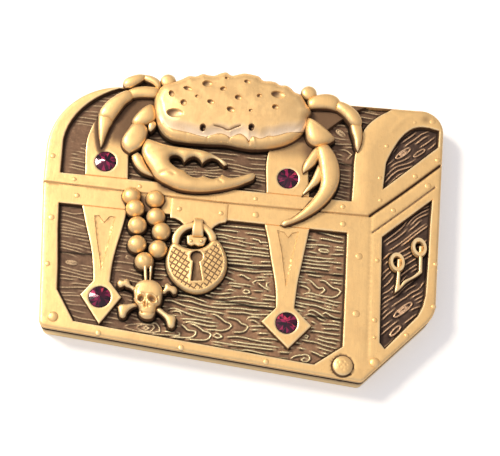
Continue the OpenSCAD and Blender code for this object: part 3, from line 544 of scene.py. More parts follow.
frame_lines = (beside(FRONT_SEAM, (-0.16, -0.05, 0.05, 0.16, 0.3)) + beside(SIDE_SEAM, (-0.3, -0.15, 0, 0.15, 0.3))
               + beside(SIDE_LINE, (-0.2, -0.08, 0.08, 0.2)) + beside(CREASE, (-0.3, 0, 0.3))
               + beside(ARCH_RIDGE, (-0.4, 0, 0.4))
               + [circle(PIVOT, r, 0.2)[list(range(-1, 40))] for r in (1.3, 1.38, 1.48)])
plate = shell(COVER_RIM + FIELDS + [BORE], frame_top, FLOOR_PLATE, (0.05, 0.12, 0.24, 0.4), 0.42, frame_lines,
              hole_draft=0.12)


def frame_ink(P):
    """Patina in the seams, round the rivet and in a few stains."""
    stains = ((24.0, 18.1, 0.8, 0.3), (-26.9, -1.4, 0.5, 0.1), (15.6, -18.9, 0.5, 0.12))
    return np.maximum.reduce([
        0.95 * bell(P, SIDE_SEAM, 0.16), 0.5 * bell(P, FRONT_SEAM, 0.07), 0.75 * bell(P, SIDE_LINE, 0.1),
        0.8 * peak(np.linalg.norm(P - PIVOT, axis=1), 1.4, 0.1), 0.12 * bell(P, [(-14.5, -16.3), (3.0, -17.5)], 1.2),
        *(k * peak(np.hypot(P[:, 0] - x, P[:, 1] - y), 0, w) for x, y, w, k in stains)])


piece("cover_frame", [plate], "gold", ["cover_plate"], extra=dict(ink=frame_ink(plate[0][:, :2])))
piece("cover_back", [shell(COVER_RIM + [BORE], level_top(FLOOR_PLATE), BOTTOM, (0.1,), 1.2)], "gold_case",
      ["cover_plate"])

# ------------------------------------------------------------------ the wood: raised grain lines


def nearest(lines, P, reach=0.8):
    """Distance to the nearest line, up to reach; how far above it the point lies; the line's force there."""
    A, B = np.concatenate([q[:-1] for q in lines]), np.concatenate([q[1:] for q in lines])
    rnd = np.random.RandomState(len(lines))
    own = np.concatenate([rnd.uniform(0.65, 1.0) * step_up(-0.25, 0.6, 0.19 * np.minimum(
        np.arange(len(q) - 1), np.arange(len(q) - 1)[::-1])) for q in lines])
    E, M = B - A, (A + B) / 2
    LL = np.maximum((E * E).sum(1), 1e-12)
    off, lean, who = np.full(len(P), reach), np.zeros(len(P)), np.zeros(len(P))
    cell = 1.2
    cells, at = np.unique(np.floor(P / cell).astype(int), axis=0, return_inverse=True)
    for i, c in enumerate(cells):
        k = np.flatnonzero(at.ravel() == i)
        s = np.flatnonzero((np.abs(M - (c + 0.5) * cell) < cell / 2 + reach + 0.2).all(1))
        if len(s):
            q = P[k, None] - A[s]
            q -= np.clip((q * E[s]).sum(2) / LL[s], 0, 1)[..., None] * E[s]
            d = np.sqrt((q * q).sum(2))
            j = d.argmin(1)
            n = np.arange(len(k))
            hit = d[n, j] < reach
            off[k[hit]] = d[n, j][hit]
            lean[k[hit]] = (q[n, j, 1] / np.maximum(d[n, j], 1e-6))[hit]
            who[k[hit]] = own[s[j[hit]]]
    return off, lean, who


def grain_lines(loop, figures, rows, width, place, gap, seed):
    """Struck ridges: the listed figures first, then long and short broken rows that keep clear of the rest."""
    rnd = np.random.RandomState(seed)
    kept = list(figures)
    taken = np.concatenate(kept)
    for count, low, high, least, clear in ((rows, 4.0, 13.0, 8, 1.0), (2 * rows + 1, 1.2, 4.0, 6, 1.15)):
        for v in (np.arange(count) + rnd.uniform(0.1, 0.9, count)) / count:
            u = -4 * rnd.rand()
            while u < width:
                run = rnd.uniform(low, high)
                q = place(np.arange(u, u + run, 0.19), v)
                near = taken[((taken > q.min(0) - 1) & (taken < q.max(0) + 1)).all(1)]
                u += run + rnd.choice([0.3, 0.7, 1.7])
                ok = np.flatnonzero(inside([loop], q)
                                    & (((q[:, None] - near) ** 2).sum(2).min(1, initial=9) > (gap * clear) ** 2))
                for k in np.split(ok, np.flatnonzero(np.diff(ok) > 1) + 1):
                    if len(k) > least:
                        kept.append(q[k])
                        taken = np.concatenate([taken, q[k]])
    return kept


def wood(name, loop, lines, planks, bright, tone):
    """A field of raised grain: ridges along the lines with a shallow groove and painted shadow below them, over a
    brown ground.

    Planks are the gaps between boards, bright is the ridges' force over the field and tone its darkness.
    """
    known = {}

    def read(P):
        off, lean, force = nearest(lines, P)
        plank = np.zeros(len(P))
        for a, b in planks:
            plank = np.maximum(plank, bell(P, [a, b], 0.17))
        # Below each ridge a shallow groove, darkened in the paint as painted shadow, strongest below the ridge.
        groove = peak(off, 0.24, 0.13) * (0.6 - 0.4 * lean) * step_up(0, 0.5, force)
        return off, groove, force * (1 if bright is None else bright(P)), plank

    def top(P, d, u):
        off, groove, strength, plank = known["top"] = read(P)
        return (FIELD + 0.11 * step_up(0.19, 0.02, off) * strength * (0.8 + 0.2 * grain_noise(P, 0.3, 31))
                - 0.03 * groove - 0.06 * plank + 0.02 * grain_noise(P, 0.9, 8))
    s = shell([loop], top, FLOOR_PLATE, (0.12,), 0.125, lines)
    P = s[0][:, :2]
    rest = read(P[len(known["top"][0]):])
    off, groove, strength, plank = [np.concatenate(pair) for pair in zip(known["top"], rest)]
    # The ground darkens along the field's rims: painted shade with patina.
    edge = 1 - step_up(0.1, 0.42, distance([loop], P))
    shade = tone(P) if callable(tone) else tone + 0 * off
    piece(name, [s], "wood", ["cover_plate"], sharp=70,
          extra=dict(off=off, groove=groove, strength=strength, plank=plank, edge=edge, tone=shade))


def ovals(c, a, b, turn, shares=(1.0, 0.55)):
    """A knot: rings inside each other."""
    return [closed(circle(c, a * k, 0.18, b / a, turn)) for k in shares]


def round_knots(x, y, knots):
    """The rows bend round the knots."""
    for kx, ky, sx, sy, high in knots:
        y = y + high * np.sign(y - ky) * np.exp(-((x - kx) / sx) ** 2 - np.abs(y - ky) / sy)
    return y


def figure(points):
    """An open stroke through listed points."""
    return curve(points, False, 0.18)


FIGURES = [xy(f) for f in """
    6.91,-7.44 7.59,-7.53 8.28,-7.77 8.56,-8.03 8.43,-8.32 / 7.96,-6.52 8.65,-6.75 9.21,-7.28 9.76,-7.66 10.3,-7.55
    10.58,-7.89 10.32,-8.19 9.92,-8.42 / 9.72,-6.54 10.54,-6.62 11.23,-7.14 11.79,-7.52 12.33,-7.62 12.75,-7.95
    12.36,-8.47 11.82,-8.78 10.74,-8.79 9.66,-8.65 8.57,-8.45 7.64,-8.65 / -15.83,-14.83 -15.46,-14.53 -14.3,-14.31
    -12.73,-14.07 -11.68,-14 -11.24,-14.51 -11.07,-15.05 -12.1,-15.32 -13.68,-15.29 -15.02,-15.04 -15.83,-14.83 /
    -14.12,-14.85 -13.95,-14.49 -12.98,-14.29 -12.05,-14.3 -11.83,-14.62 -12.12,-15.02 -13.3,-15.17 -14.12,-14.85 /
    -13.4,-14.8 -12.96,-14.54 -12.48,-14.73 -12.85,-14.98 -13.4,-14.8 / -8.83,-14.97 -8.48,-15.15 -8.46,-15.48
    -9.71,-15.5 -11.03,-15.52 -12.35,-15.52 / -8.38,-13.91 -7.82,-14.28 -7.39,-14.66 -6.86,-14.7 -6.33,-14.8
    -6.37,-15.14 -6.67,-15.5 -7.19,-15.67 -8.11,-15.73 -9.43,-15.75 / -7.19,-13.76 -6.52,-13.92 -5.83,-14.28
    -5.28,-14.66 -4.6,-14.82 -4.32,-15.07 -4.43,-15.42 -4.81,-15.78 -5.72,-15.91 -7.44,-15.89 / -4.5,-12.27
    -3.83,-12.36 -3.14,-12.73 -2.45,-13.23 -1.91,-13.4 -1.69,-13.73 -2.13,-14.17 -2.91,-14.43 -3.97,-14.4
    -5.03,-14.44 / -11.14,-10.79 -9.81,-10.77 -8.99,-11.06 -7.89,-11.4 -6.55,-11.58 -5.2,-11.84 -3.86,-11.95
    -2.51,-12.14 / -10.51,-11.99 -9.19,-11.83 -8.37,-12.12 -7.56,-12.41 -6.47,-12.68 -5.14,-12.8 -4.07,-12.86 /
    -8.43,-13.16 -7.24,-13.15 -5.91,-13.19 -4.57,-13.38 -3.5,-13.44 / -8,-13.61 -6.94,-13.54 -5.87,-13.74
    -4.53,-13.92 -3.47,-13.85 / -9.82,-12.29 -9.17,-12.18 -8.63,-12.28 -8.33,-12.74 / -4.05,-15.19 -3.67,-14.89
    -3.13,-15.02 -2.85,-15.28 -3.37,-15.48 -4.05,-15.19 / -4.13,-16.01 -3.07,-16.07 -2,-16.21 -.94,-16.27 /
    -2.49,-12.55 -1.69,-12.63 -.87,-12.85 -.32,-13.29 .23,-13.46 .51,-13.72 .26,-14.15 -.25,-14.43 -1.04,-14.51
    -1.44,-14.51 / .32,-12.7 .56,-12.34 1.23,-12.29 2.3,-12.36 / .59,-12.82 1.25,-12.77 1.66,-12.95 2.08,-13.2 /
    .76,-13.56 1.56,-13.51 2.35,-13.46 3.16,-13.54 / 1.74,-14.46 2.54,-14.44 3.47,-14.41 / -2.32,-15.28 -1.01,-15.12
    .05,-15.18 1.13,-15.38 2.46,-15.57 4.06,-15.66 / -1.5,-15.76 .1,-15.93 1.69,-16.03 3.28,-16.12 4.88,-16.22 /
    -2.26,-16.29 -.68,-16.32 .92,-16.42 2.51,-16.51 4.37,-16.59 / -1.96,-17.01 -1.17,-16.89 -.37,-16.98 .41,-16.86
    1.21,-16.94 2.28,-17.14 3.21,-17.28 / -.49,-8.91 -.18,-8.57 .37,-8.67 .51,-8.94 -.01,-9.11 -.49,-8.91 /
    -2.72,-8.81 -2.05,-8.7 -1.37,-8.86 / 3.17,-8.16 2.68,-7.85 2.73,-7.45 3.19,-7.28 / 1.51,-7.46 2.08,-7.92
    2.63,-8.23 3.32,-8.46 / 1.06,-7.78 .84,-7.51 1.17,-7.25 1.77,-7.14 2.84,-7.02 / -1.23,-6.6 -.56,-6.55 .14,-6.92
    .69,-7.1 / 1.21,-6.71 2.01,-6.65 2.82,-6.67 / -2.78,-7.83 -1.97,-7.78 -.89,-7.84 .19,-7.91 .87,-8.07 /
    6.4,-17.67 6.65,-17.39 7.17,-17.15 7.83,-17.04 8.35,-16.94 8.82,-17.18 8.9,-17.51 8.52,-17.87 7.99,-17.91
    7.78,-17.65 8.17,-17.39 8.51,-17.51 / 8.86,-16.43 9.67,-16.65 10.48,-17 11.14,-17.16 / 8.4,-10.97 8.93,-10.8
    9.47,-10.97 10.02,-11.28 10.57,-11.66 11.11,-11.9 / 8.02,-11.55 8.68,-11.37 9.49,-11.59 10.04,-11.97
    10.85,-12.19 / 10.29,-11.26 10.81,-11.01 11.36,-11.32 12.04,-11.62 12.98,-11.7 / 8.85,-12.33 9.26,-12.5
    9.66,-12.68 / 7.86,-14.59 8.25,-14.26 8.56,-14.41 8.4,-14.69 7.86,-14.59 / -15.88,-5.37 -16.43,-5.19 -16.32,-4.9
    -15.78,-4.93""".split("/")]


def waver(a, row, length, seed):
    """Slow noise along a row, another for each row."""
    return grain_noise(np.stack([a / length, 0 * a + row], 1), 1, seed)


def front_row(t, v):
    """The front's rows: v from the top to the bottom edge, bent round four knots."""
    x = -26.4 + t
    hi = 1.8 - (x + 26.15) * 0.038
    lo = -14.6 - (x + 22.5) * 0.1176
    y = hi - v * (hi - lo)
    y = y + 0.5 * waver(x, v * 7, 4.2, 3) + 0.07 * waver(x, v * 30, 1.2, 4)
    return np.stack([x, round_knots(x, y, [(-24.0, 1.0, 1.2, 0.8, 0.3), (-23.6, -6.4, 1.4, 0.8, 0.35),
                                           (10.3, -2.3, 1.6, 0.8, 0.25), (0.4, -1.6, 1.4, 0.7, 0.25)])], 1)


def lid_row(t, v):
    """The lid's rows: v from the seam up, bent round two knots."""
    x = -26.6 + t
    y = 4.7 + 15.4 * v - 0.033 * x
    y = y + 0.4 * waver(x, v * 7, 3.6, 13) + 0.07 * waver(x, v * 29, 1.1, 14)
    return np.stack([x, round_knots(x, y, [(12.1, 15.4, 1.6, 0.8, 0.35), (-24.3, 12.4, 1.5, 0.9, 0.3)])], 1)


def slant_row(middle, reach, seed, knots):
    """Rows that climb to the right, as the grain of the chest's end does."""
    def place(t, v):
        a = t - reach
        w = (0.5 - v) * 2 * reach
        w = w + 0.5 * waver(a, v * reach / 1.5, 3.2, seed) + 0.08 * waver(a, v * reach * 2, 1.1, seed + 1)
        w = round_knots(a, w, knots)
        return np.asarray(middle) + np.stack([0.758 * a - 0.652 * w, 0.652 * a + 0.758 * w], 1)
    return place


FRONT_LINES = grain_lines(BODY_FIELD, [figure(q) for q in FIGURES] + ovals((-23.6, -6.4), 0.75, 0.25, -4)
                          + ovals((10.3, -2.3), 0.7, 0.22, -4, (1.0,)), 33, 40.5, front_row, 0.34, 5)
wood("cover_wood_front", BODY_FIELD, FRONT_LINES,
     (((-2.8, -5.35), (3.6, -5.5)), ((8, -5.55), (13.3, -5.75)), ((-9, -9.6), (4.2, -11.2)),
      ((8.6, -11.6), (13.2, -11.9)), ((-25.8, -5.0), (-21.2, -5.1))),
     lambda P: 0.38 + 0.62 * step_up(-17, -8, P[:, 0]), lambda P: 0.6 * (1 - step_up(-17, -7, P[:, 0])))
LID_FIGURES = [figure(xy("11.9,12.85 12.75,12.85 13.75,12.25 13.05,11.4")), figure(xy("11.6,12.2 12.7,11.9"))]
wood("cover_wood_lid", LID_FIELD,
     grain_lines(LID_FIELD, ovals((12.1, 15.4), 0.75, 0.3, -35) + LID_FIGURES, 31, 41.5, lid_row, 0.34, 15),
     (((8.5, 10.9), (14, 10.6)),),
     lambda P: 0.52 - (0.52 - 0.36 * step_up(-25.7, -24.7, P[:, 0]) * step_up(-0.3, 0.2, grain_noise(P, 1.3, 61)))
     * (P[:, 0] < -20), 0.5)
wood("cover_wood_side", SIDE_FIELD,
     grain_lines(SIDE_FIELD, ovals((21.2, -9.9), 1.6, 0.36, 42, (1.0, 0.45))
                 + ovals((20.2, -12.9), 1.0, 0.28, 48, (1.0,)), 52, 30.0,
                 slant_row((21.2, -4.5), 15, 41, [(-3.9, -3.8, 1.5, 0.8, 0.3)]), 0.38, 45), (), None, 0.95)
wood("cover_wood_end", END_FIELD,
     grain_lines(END_FIELD, ovals((21.0, 13.0), 1.3, 0.34, 40.7, (1.0, 0.45))
                 + ovals((23.3, 13.2), 1.0, 0.25, 38, (1.0,)), 28, 16.0,
                 slant_row((22.0, 12.6), 8, 51, [(-0.6, 0.9, 1.3, 0.8, 0.3)]), 0.38, 55), (), None, 0.95)

# ------------------------------------------------------------------ straps and crystals

LEFT_VEE = xy("-21.2,.3 -20.5,.35 -19.8,-.55 -19.1,.35 -18.3,.3 -18.75,-2.6 -19.5,-7.5 -20.65,-2.6")
RIGHT_VEE = xy("3.7,0 4.7,-.25 5.25,-.95 5.75,-.3 6.7,0 6.2,-2.6 5.25,-8.3 4.45,-3.2")


def strap(node, gem, clip, points, vee=None, crab_shade=None):
    """A strap with a crystal's seat, cut by the edge of its field; vee is its wedge and crab_shade its painted shade
    beside the crab, to which painted shade round two left legs is added.
    """
    loop = curve(points, True, 0.2, 28)
    loop = merge([loop, clip], lambda P: inside([loop], P) & inside([clip], P))
    cut = None if vee is None else [line(vee, 0.2)]

    def top(P, d, u):
        r = np.linalg.norm(P - gem, axis=1)
        z = BAND + 0.02 - bevel(distance([loop], P), 0.13)
        z += 0.02 * peak(r, 1.72, 0.2) - 0.05 * peak(r, 1.5, 0.06)
        if cut:
            z -= np.where(inside(cut, P), 0.12 * step_up(0, 0.12, distance(cut, P)), 0)
        return z + ripple(P, 0.012, 1.8, 3) * step_up(0, 0.4, d)
    lines = [closed(circle(gem, r, 0.22)) for r in (1.62, 1.75)]
    if cut:
        V = wound([line(vee, 0.15)])[0]
        lines += [closed(q) for q in (V, V + normals(V) * 0.1, V - normals(V) * 0.06)]
    s = shell([loop, circle(gem, 1.49, 0.16)], top, FLOOR_PLATE, (0.05, 0.13, 0.24), 0.32, lines, draft=0.1,
              hole_draft=0.0)
    Q = s[0][:, :2]
    ink = 0.0 * Q[:, 0]
    if cut:
        ink = inside([V], Q) * (0.12 + 0.1 * peak(distance([V], Q), 0, 0.12))
    if crab_shade is not None:
        # Painted shade round two of the left legs.
        leg_shade = 0.72 * step_up(1.0, 0.05, distance([curve(q) for q, _, _ in LEGS_LEFT[1:3]], Q))
        ink = np.maximum(np.maximum(ink, crab_shade(*Q.T)), leg_shade)
    piece(node + "_plate", [s], "gold", [node], extra=dict(ink=ink))


LEGS_LEFT = [
    (xy("""
    -13.7,19.9 -15,19.95 -16.4,19.9 -17.5,19.6 -18.4,19 -18.6,18.3 -17.9,17.7 -16.6,18.05 -15,18.15 -13.9,18.2"""),
     1.1, 0.15),
    (xy("""
    -17.6,19.25 -18.8,18.95 -20,18.1 -21.2,16.9 -21.9,15.7 -22.05,14.7 -21.5,14.25 -20.6,14.35 -19.95,14 -19.5,14.8
    -18.9,15.9 -18.3,16.9 -17.6,17.6 -17.2,18.4"""),
     1.3, 0.2),
    (xy("""
    -22.1,15.3 -21.95,13.4 -21.75,12 -21.45,10.7 -21.25,10.05 -20.95,10.7 -20.65,11.8 -20.3,13 -19.9,14.2 -20.3,15.1
    -21.2,15.6"""),
     1.0, 0.15),
    (xy("-13.6,19.9 -13.9,21 -14.7,21.55 -15.6,21.8 -16.5,21.7 -16.3,21.05 -15.6,20.6 -14.9,20.3 -14.2,19.6"),
     1.0, 0.15),
    (xy("""
    -15.8,21.85 -16.9,21.8 -18.1,21.35 -18.9,20.8 -19.1,20 -18.7,19.4 -17.8,19.5 -17.1,20 -16.4,20.6 -15.9,21.2"""),
     1.05, 0.18)]
# The lid straps' crab_shade is painted shade where the crab's legs, arms and claws stand over them.
strap("lid_strap_left", GEMS[0], LID_FIELD, xy("""
    -23.05,6 -17.15,5.8 -17.2,11.5 -16.5,13.7 -15,15.8 -13.2,17.5 -10.3,19.9 -17.1,20 -19.4,17.8 -21.2,16 -22.5,14.2
    -23.1,12.4"""),
      crab_shade=lambda x, y: (0.16 + 0.3 * step_up(-20.9, -19.4, x)) * step_up(9.4, 12.4, y)
      + 0.1 * step_up(-19.3, -17.6, x))
strap("lid_strap_right", GEMS[1], LID_FIELD, xy("""
    2,5.1 7.9,4.9 7.9,11.5 8.6,13.4 10.3,15.6 12,17.1 14.1,18.65 15.9,19.6 9.1,19.7 6.2,17.5 4.2,15.6 2.6,13.4
    2,11.5"""),
      crab_shade=lambda x, y: 0.3 * step_up(9.2, 12.2, y) + 0.16 * step_up(6.2, 7.8, x) * step_up(4.6, 6.0, y))
strap("body_strap_left", GEMS[2], BODY_FIELD, xy("""
    -23.1,2.1 -22.2,-1 -21.5,-3.2 -21,-5 -20.65,-7 -20.4,-8.9 -21.95,-10.95 -19.1,-14.8 -16.5,-10.95 -18.25,-8.9
    -18.1,-6 -17.8,-4 -17.4,-2 -17,.3 -16.8,1.9"""), LEFT_VEE)
strap("body_strap_right", GEMS[3], BODY_FIELD, xy("""
    1.85,1.2 2.6,-1.7 3.1,-4.3 3.6,-6.6 3.95,-8.8 4.05,-11 2.2,-13 5.9,-16.45 8.88,-13.15 6.5,-10.85 6.6,-9.6
    6.85,-7 7.25,-4.7 7.7,-2 8.2,.95"""), RIGHT_VEE)


def crystal(node, c, seed):
    """A pointed crown of facets that run to its middle, a thin girdle and a pavilion in its seat."""
    V = []
    for share, z, turn, n in ((0.05, 0.36, 0.0, 3), (0.42, 0.242, 0.5, 8), (0.74, 0.122, 0.0, 8),
                              (1.0, 0.02, 0.25, 16), (1.0, -0.06, 0.25, 16), (0.3, -0.9, 0.5, 8)):
        t = (np.arange(n) + turn) * 2 * math.pi / n + seed * 0.37
        V.append(np.column_stack([c[0] + GEM_R * share * np.cos(t), c[1] + GEM_R * share * np.sin(t),
                                  np.full(n, BAND + z)]))
    V = np.concatenate(V)
    piece(node + "_gem", [(V, hull(V), 0, np.full(len(V), 9.0))], "crystal", [node], slot="crystal", sharp=1)


for number, side in enumerate(("lid_left", "lid_right", "body_left", "body_right")):
    crystal("crystal_" + side, GEMS[number], number)

# ------------------------------------------------------------------ the crab

BROW = xy("""
    -15.2,17.6 -14.3,16.6 -14,15.4 -13.4,14.5 -12.6,13.8 -11.75,13.35 -10.6,13.12 -9.1,12.89 -7.97,12.62
    -6.86,12.46""")
BROW_MID = xy("-6.86,12.46 -6.3,12.68 -5.1,13.1 -4.4,13.05 -3.54,12.61")
BROW_TOOTH = xy("-3.54,12.61 -2.87,13 -2.06,13.25 -1.48,12.95 -.89,12.31")
BROW_RIGHT = xy("""
    -.89,12.31 -.55,12.95 -.1,12.98 .6,12.78 1.15,12.93 1.7,13.22 2.4,13.27 3.35,13.55 4.2,13.9 5.3,14.12 6.1,14.25
    6.9,14.7 7.7,15.5""")
BROW_LINE = np.concatenate([curve(q, False, 0.17)[:-1] for q in (BROW, BROW_MID, BROW_TOOTH)]
                           + [curve(BROW_RIGHT, False, 0.17)])
FACE_AREA = np.concatenate([BROW_LINE, [(9.0, 15.5), (9.0, 9.5), (-17.0, 9.5), (-17.0, 17.6)]])
PITS = xy("""
    -12.07,18.41,.4,.56,25 -9.84,19.37,.7,.34,-18 -7.17,20.36,.74,.56,0 -10.3,17.09,.44,.52,15
    -11.36,15.47,1.22,.68,-7 -6.5,17.47,.56,.36,-20 -3.65,16.53,.64,.42,-22 -1.6,21.12,.5,.3,-20
    2.78,19.44,.98,.6,-8 2.52,17.41,.5,.42,-10 -2.71,18.46,.56,.42,-20 -4.9,19.7,.48,.38,10 -8.5,18.2,.3,.26,0
    .2,19,.4,.32,15 -4.5,21.5,.32,.24,-10 -.9,16.6,.3,.24,0""")
EYES = xy("-7.35,13.65,.42,.52 -.66,14.17,.42,.5")
MOUTH = xy("-5.8,14.07 -4.74,13.92 -3.75,13.62 -2.94,14 -2.2,14.3")


def carapace_top(P, d, u):
    """Heights of the shell, its scalloped crest, its pits and the face below the brow."""
    x, y = P.T
    face = inside([FACE_AREA], P)
    brow = distance([BROW_LINE], P, False)
    hull_z = ball(d, 1.5, 1.75) + 0.42 * step_up(0, 4.5, d)
    hull_z -= 0.42 * (1 - step_up(0.0, 1.35, brow)) * step_up(0.3, 1.2, d)
    crest = (y - 18.4) / 5.0
    hull_z -= 0.07 * (0.5 + 0.5 * np.cos(2 * math.pi * x / 1.75 + 0.6)) * step_up(0.35, 0.9, crest) * np.exp(-d / 1.3)
    lip = ball(d, 1.15, 1.5) - 0.1 * peak(brow, 0, 0.1) * step_up(-12.6, -9.5, x)
    for q, depth, w in (([(-6.6, 12.6), (-6.8, 11.5)], 0.1, 0.12), ([(-1.0, 12.5), (-0.75, 12.0)], 0.25, 0.14),
                        ([(-3.6, 12.7), (-3.6, 12.3)], 0.14, 0.12), ([(-0.3, 12.9), (0.1, 11.4)], -0.09, 0.14),
                        ([(-9.6, 12.8), (-9.5, 12.3)], 0.03, 0.2), ([(1.9, 13.1), (2.2, 12.5)], 0.03, 0.2)):
        lip -= depth * bell(P, q, w)
    z = np.where(face, lip, hull_z)
    for px, py, a, b, turn in PITS:
        e, dx, dy = oval(x, y, px, py, a, b, turn)
        tilt = 1 + 0.4 * np.clip((dy - dx) / (a + b), -1, 1)
        z -= 0.34 * np.clip(1 - e ** 4, 0, 1) ** 0.8 * tilt * min(1, b / 0.4)
    for px, py, a, b in EYES:
        z -= 0.55 * np.clip(1 - oval(x, y, px, py, a, b)[0] ** 4, 0, 1)
        z += 0.32 * peak(np.hypot(x - px - 0.16, y - py + 0.12), 0, 0.17)
    z -= 0.2 * bell(P, MOUTH, 0.11)
    z += 0.05 * bell(P, [(a, b - 0.26) for a, b in MOUTH], 0.16)
    return BAND + z + ripple(P, 0.02, 1.5, 6) * step_up(0, 0.6, d)


def pit_shade(P):
    """Patina left in the pits with painted shadow under their upper left edges, painted shade along the brow's step
    and the shell's upper rim, and a painted reflection by the brow.
    """
    x, y = P.T
    ink, pit_lift = np.zeros(len(P)), np.zeros(len(P))
    for px, py, a, b, turn in PITS:
        e, dx, dy = oval(x, y, px, py, a, b, turn)
        pit_lift = np.maximum(pit_lift, 0.26 * np.clip(1.15 - e ** 5, 0, 1))
        # Darker towards the upper left: painted shadow over the pit's patina.
        depth = np.clip(0.3 + 0.6 * (dy - 0.8 * dx) / (a + b), 0.13, 0.85)
        ink = np.maximum(ink, np.clip(1.05 - e ** 5, 0, 1) * depth)
    for px, py, a, b in EYES:
        shine = 1 - 0.8 * peak(np.hypot(x - px - 0.16, y - py + 0.12), 0, 0.15)
        ink = np.maximum(ink, np.clip(1.1 - oval(x, y, px, py, a, b)[0] ** 4, 0, 1) * shine)
    brow = distance([BROW_LINE], P, False)
    face = inside([FACE_AREA], P)
    # The brow's step: painted shade.
    ink = np.maximum(ink, 0.42 * peak(brow, 0, 0.09) * face * step_up(-12.6, -9.5, x))
    ink = np.maximum(ink, 0.5 * bell(P, MOUTH, 0.1))
    # A little darker over the shell's top away from the brow.
    near_offset = np.where(face, 0.0, -0.06 * step_up(1.0, 2.6, brow))
    # Painted reflection: a pale polished tone over the shell's top by the brow.
    pale = np.where(face, 0.0, step_up(1.7, 0.2, brow)) * step_up(-14.5, -12.0, x)
    pale = pale * (1 - 0.6 * bell(P, [(0.5, 14.0)], 1.3))
    # The shell's upper rim: painted shade.
    crest = (0.55 - 0.4 * face) * step_up(0.42, 0.1, distance([CARAPACE], P)) * step_up(12.0, 19.0, y)
    return dict(ink=np.maximum(ink, crest), near_offset=near_offset + pit_lift, pale=0.6 * pale + 0.04)


brow_rows = [BROW_LINE + o for o in xy("0,.04 0,-.04 0,.14 0,-.14 0,.26 0,-.26")]
pit_rows = []
for px, py, a, b, turn in PITS:
    for share in (0.8, 1.02):
        ring = circle((px, py), a * share, 0.14, b / a, turn)
        pit_rows.append(np.concatenate([ring[-1:], ring]))
crab = shell([CARAPACE], carapace_top, FLOOR_PLATE, (0.04, 0.11, 0.22, 0.36, 0.55, 0.8), 0.14, brow_rows + pit_rows,
             lined=True)
piece("crab_carapace", [crab], "gold", ["crab_shell"], extra=pit_shade(crab[0][:, :2]))

LEFT_CLAW = xy("""
    -15,12 -14,11.65 -13,11.3 -11,11 -9,10.9 -7,10.7 -5.5,10.2 -4.4,9.65 -3.75,9.15 -3.6,8.8 -4.1,8.6 -4.5,8.95
    -5,9.4 -5.7,9.6 -6.4,9.3 -7.1,8.7 -7.6,9.3 -8.3,9.6 -9,9.3 -9.6,8.7 -10.1,9.35 -10.8,9.6 -11.5,9.3 -11.6,8.8
    -10.9,8.05 -10,7.6 -9.35,7.75 -9.1,7.15 -8.4,6.65 -7.6,6.6 -6.85,7.05 -6.3,6.75 -5.4,6.6 -4.7,6.95 -4.25,7.5
    -3.8,7.1 -3,6.95 -2,7.2 -1,7.6 0,8 .38,7.65 .2,7.05 -1,6.2 -3,5.3 -5,4.75 -7,4.4 -8.5,4.35 -10,4.5 -11.5,5
    -12.7,5.6 -13.6,6.3 -14.1,7.1 -14.8,8.1 -15.35,9.1 -15.6,10 -15.45,11""")


def claw_carve(P, d):
    """What the left claw's creases take away, and its swell."""
    cut = 0.1 * bell(P, [(-12.6, 6.6), (-11.5, 6.9), (-10.9, 6.6)], 0.25)
    cut += 0.08 * bell(P, [(-4.6, 6.2), (-4.2, 5.95)], 0.12)
    cut += 0.10 * bell(P, [(-14.4, 9.8), (-13.2, 10.3), (-12.0, 10.4)], 0.5)
    return cut - 0.12 * bell(P, [(-12.6, 8.3), (-11.2, 6.6), (-8.5, 5.6)], 1.1)


relief("crab_left_claw", [limb(curve(LEFT_CLAW, corner=58), 1.45, 0.85, carve=claw_carve, foot=0.3)])
WRIST = xy("""
    -16.95,9.3 -16.1,9.95 -15.4,9.3 -14.7,8 -14,7.1 -13.4,6.3 -14.3,6.45 -15.3,6.8 -16.2,7.6 -16.75,8.5""")
relief("crab_left_wrist", [limb(curve(WRIST), 1.0, 1.0, foot=0.12)])
ARM = [
    xy("""
    -15,17.3 -15.9,16.6 -16.8,15.5 -17.35,14.3 -17.1,13.6 -16,13.6 -15.1,14 -14.35,14.5 -13.95,15.1 -14.1,16.2
    -14.5,17.1"""),
    xy("""
    -17.25,14 -16.3,14.25 -15.4,13.9 -14.95,13.1 -15,12.2 -15.25,11.2 -15.85,10.3 -16.6,9.8 -17.2,9.45 -17.9,9.9
    -18.35,10.5 -18.5,11.3 -18.1,12.4 -17.6,13.3"""),
    xy("-15.15,14.6 -14.2,14.9 -13.85,14.2 -14.1,13.5 -14.55,13 -15,13.2")]
relief("crab_left_arm", [limb(curve(q), cap, rise, foot=foot) for q, cap, rise, foot in
                         zip(ARM, (1.35, 1.3, 0.8), (0.95, 0.95, 0.9), (0.25, 0.3, 0.2))])
WEB = shell([line(xy("-18.3,19.4 -17.2,20.7 -16.2,21.2 -15.2,20.9 -14,19.4"))],
            level_top(BAND - 0.1), FIELD, (0.1,), 0.4)
left_legs = [limb(curve(q), c, 1.0, foot=f) for q, c, f in LEGS_LEFT]
left_legs.append(limb(circle((-12.75, 21.05), 1.12), 1.0, 1.0, foot=0.1))
relief("crab_left_legs", left_legs + [WEB], extra=dict(
    ink=np.concatenate([np.zeros(sum(len(leg[0]) for leg in left_legs)), np.full(len(WEB[0]), 0.9)])))
LEGS_RIGHT = [
    (xy("""
    7,19.5 7.9,20.25 9,20.65 10.2,20.75 11.1,20.5 11.7,19.9 11.6,18.9 11.2,18.15 10,18.3 8.5,18.25 7.2,18.1"""),
     1.2, 0.2),
    (xy("""
    10.9,19.9 11.9,19.75 12.9,19.35 13.9,18.6 14.6,17.8 14.95,16.9 14.85,16.1 14.2,15.85 13.3,16.15 12.9,16.6
    12.3,17.3 11.6,17.9 11,18.3"""),
     1.3, 0.22),
    (xy("13.15,16.5 14,16.85 14.9,16.3 15.05,14.9 14.95,13.7 14.6,12.5 14.4,12.15 14,12.9 13.8,14 13.4,15.2"),
     0.9, 0.12)]
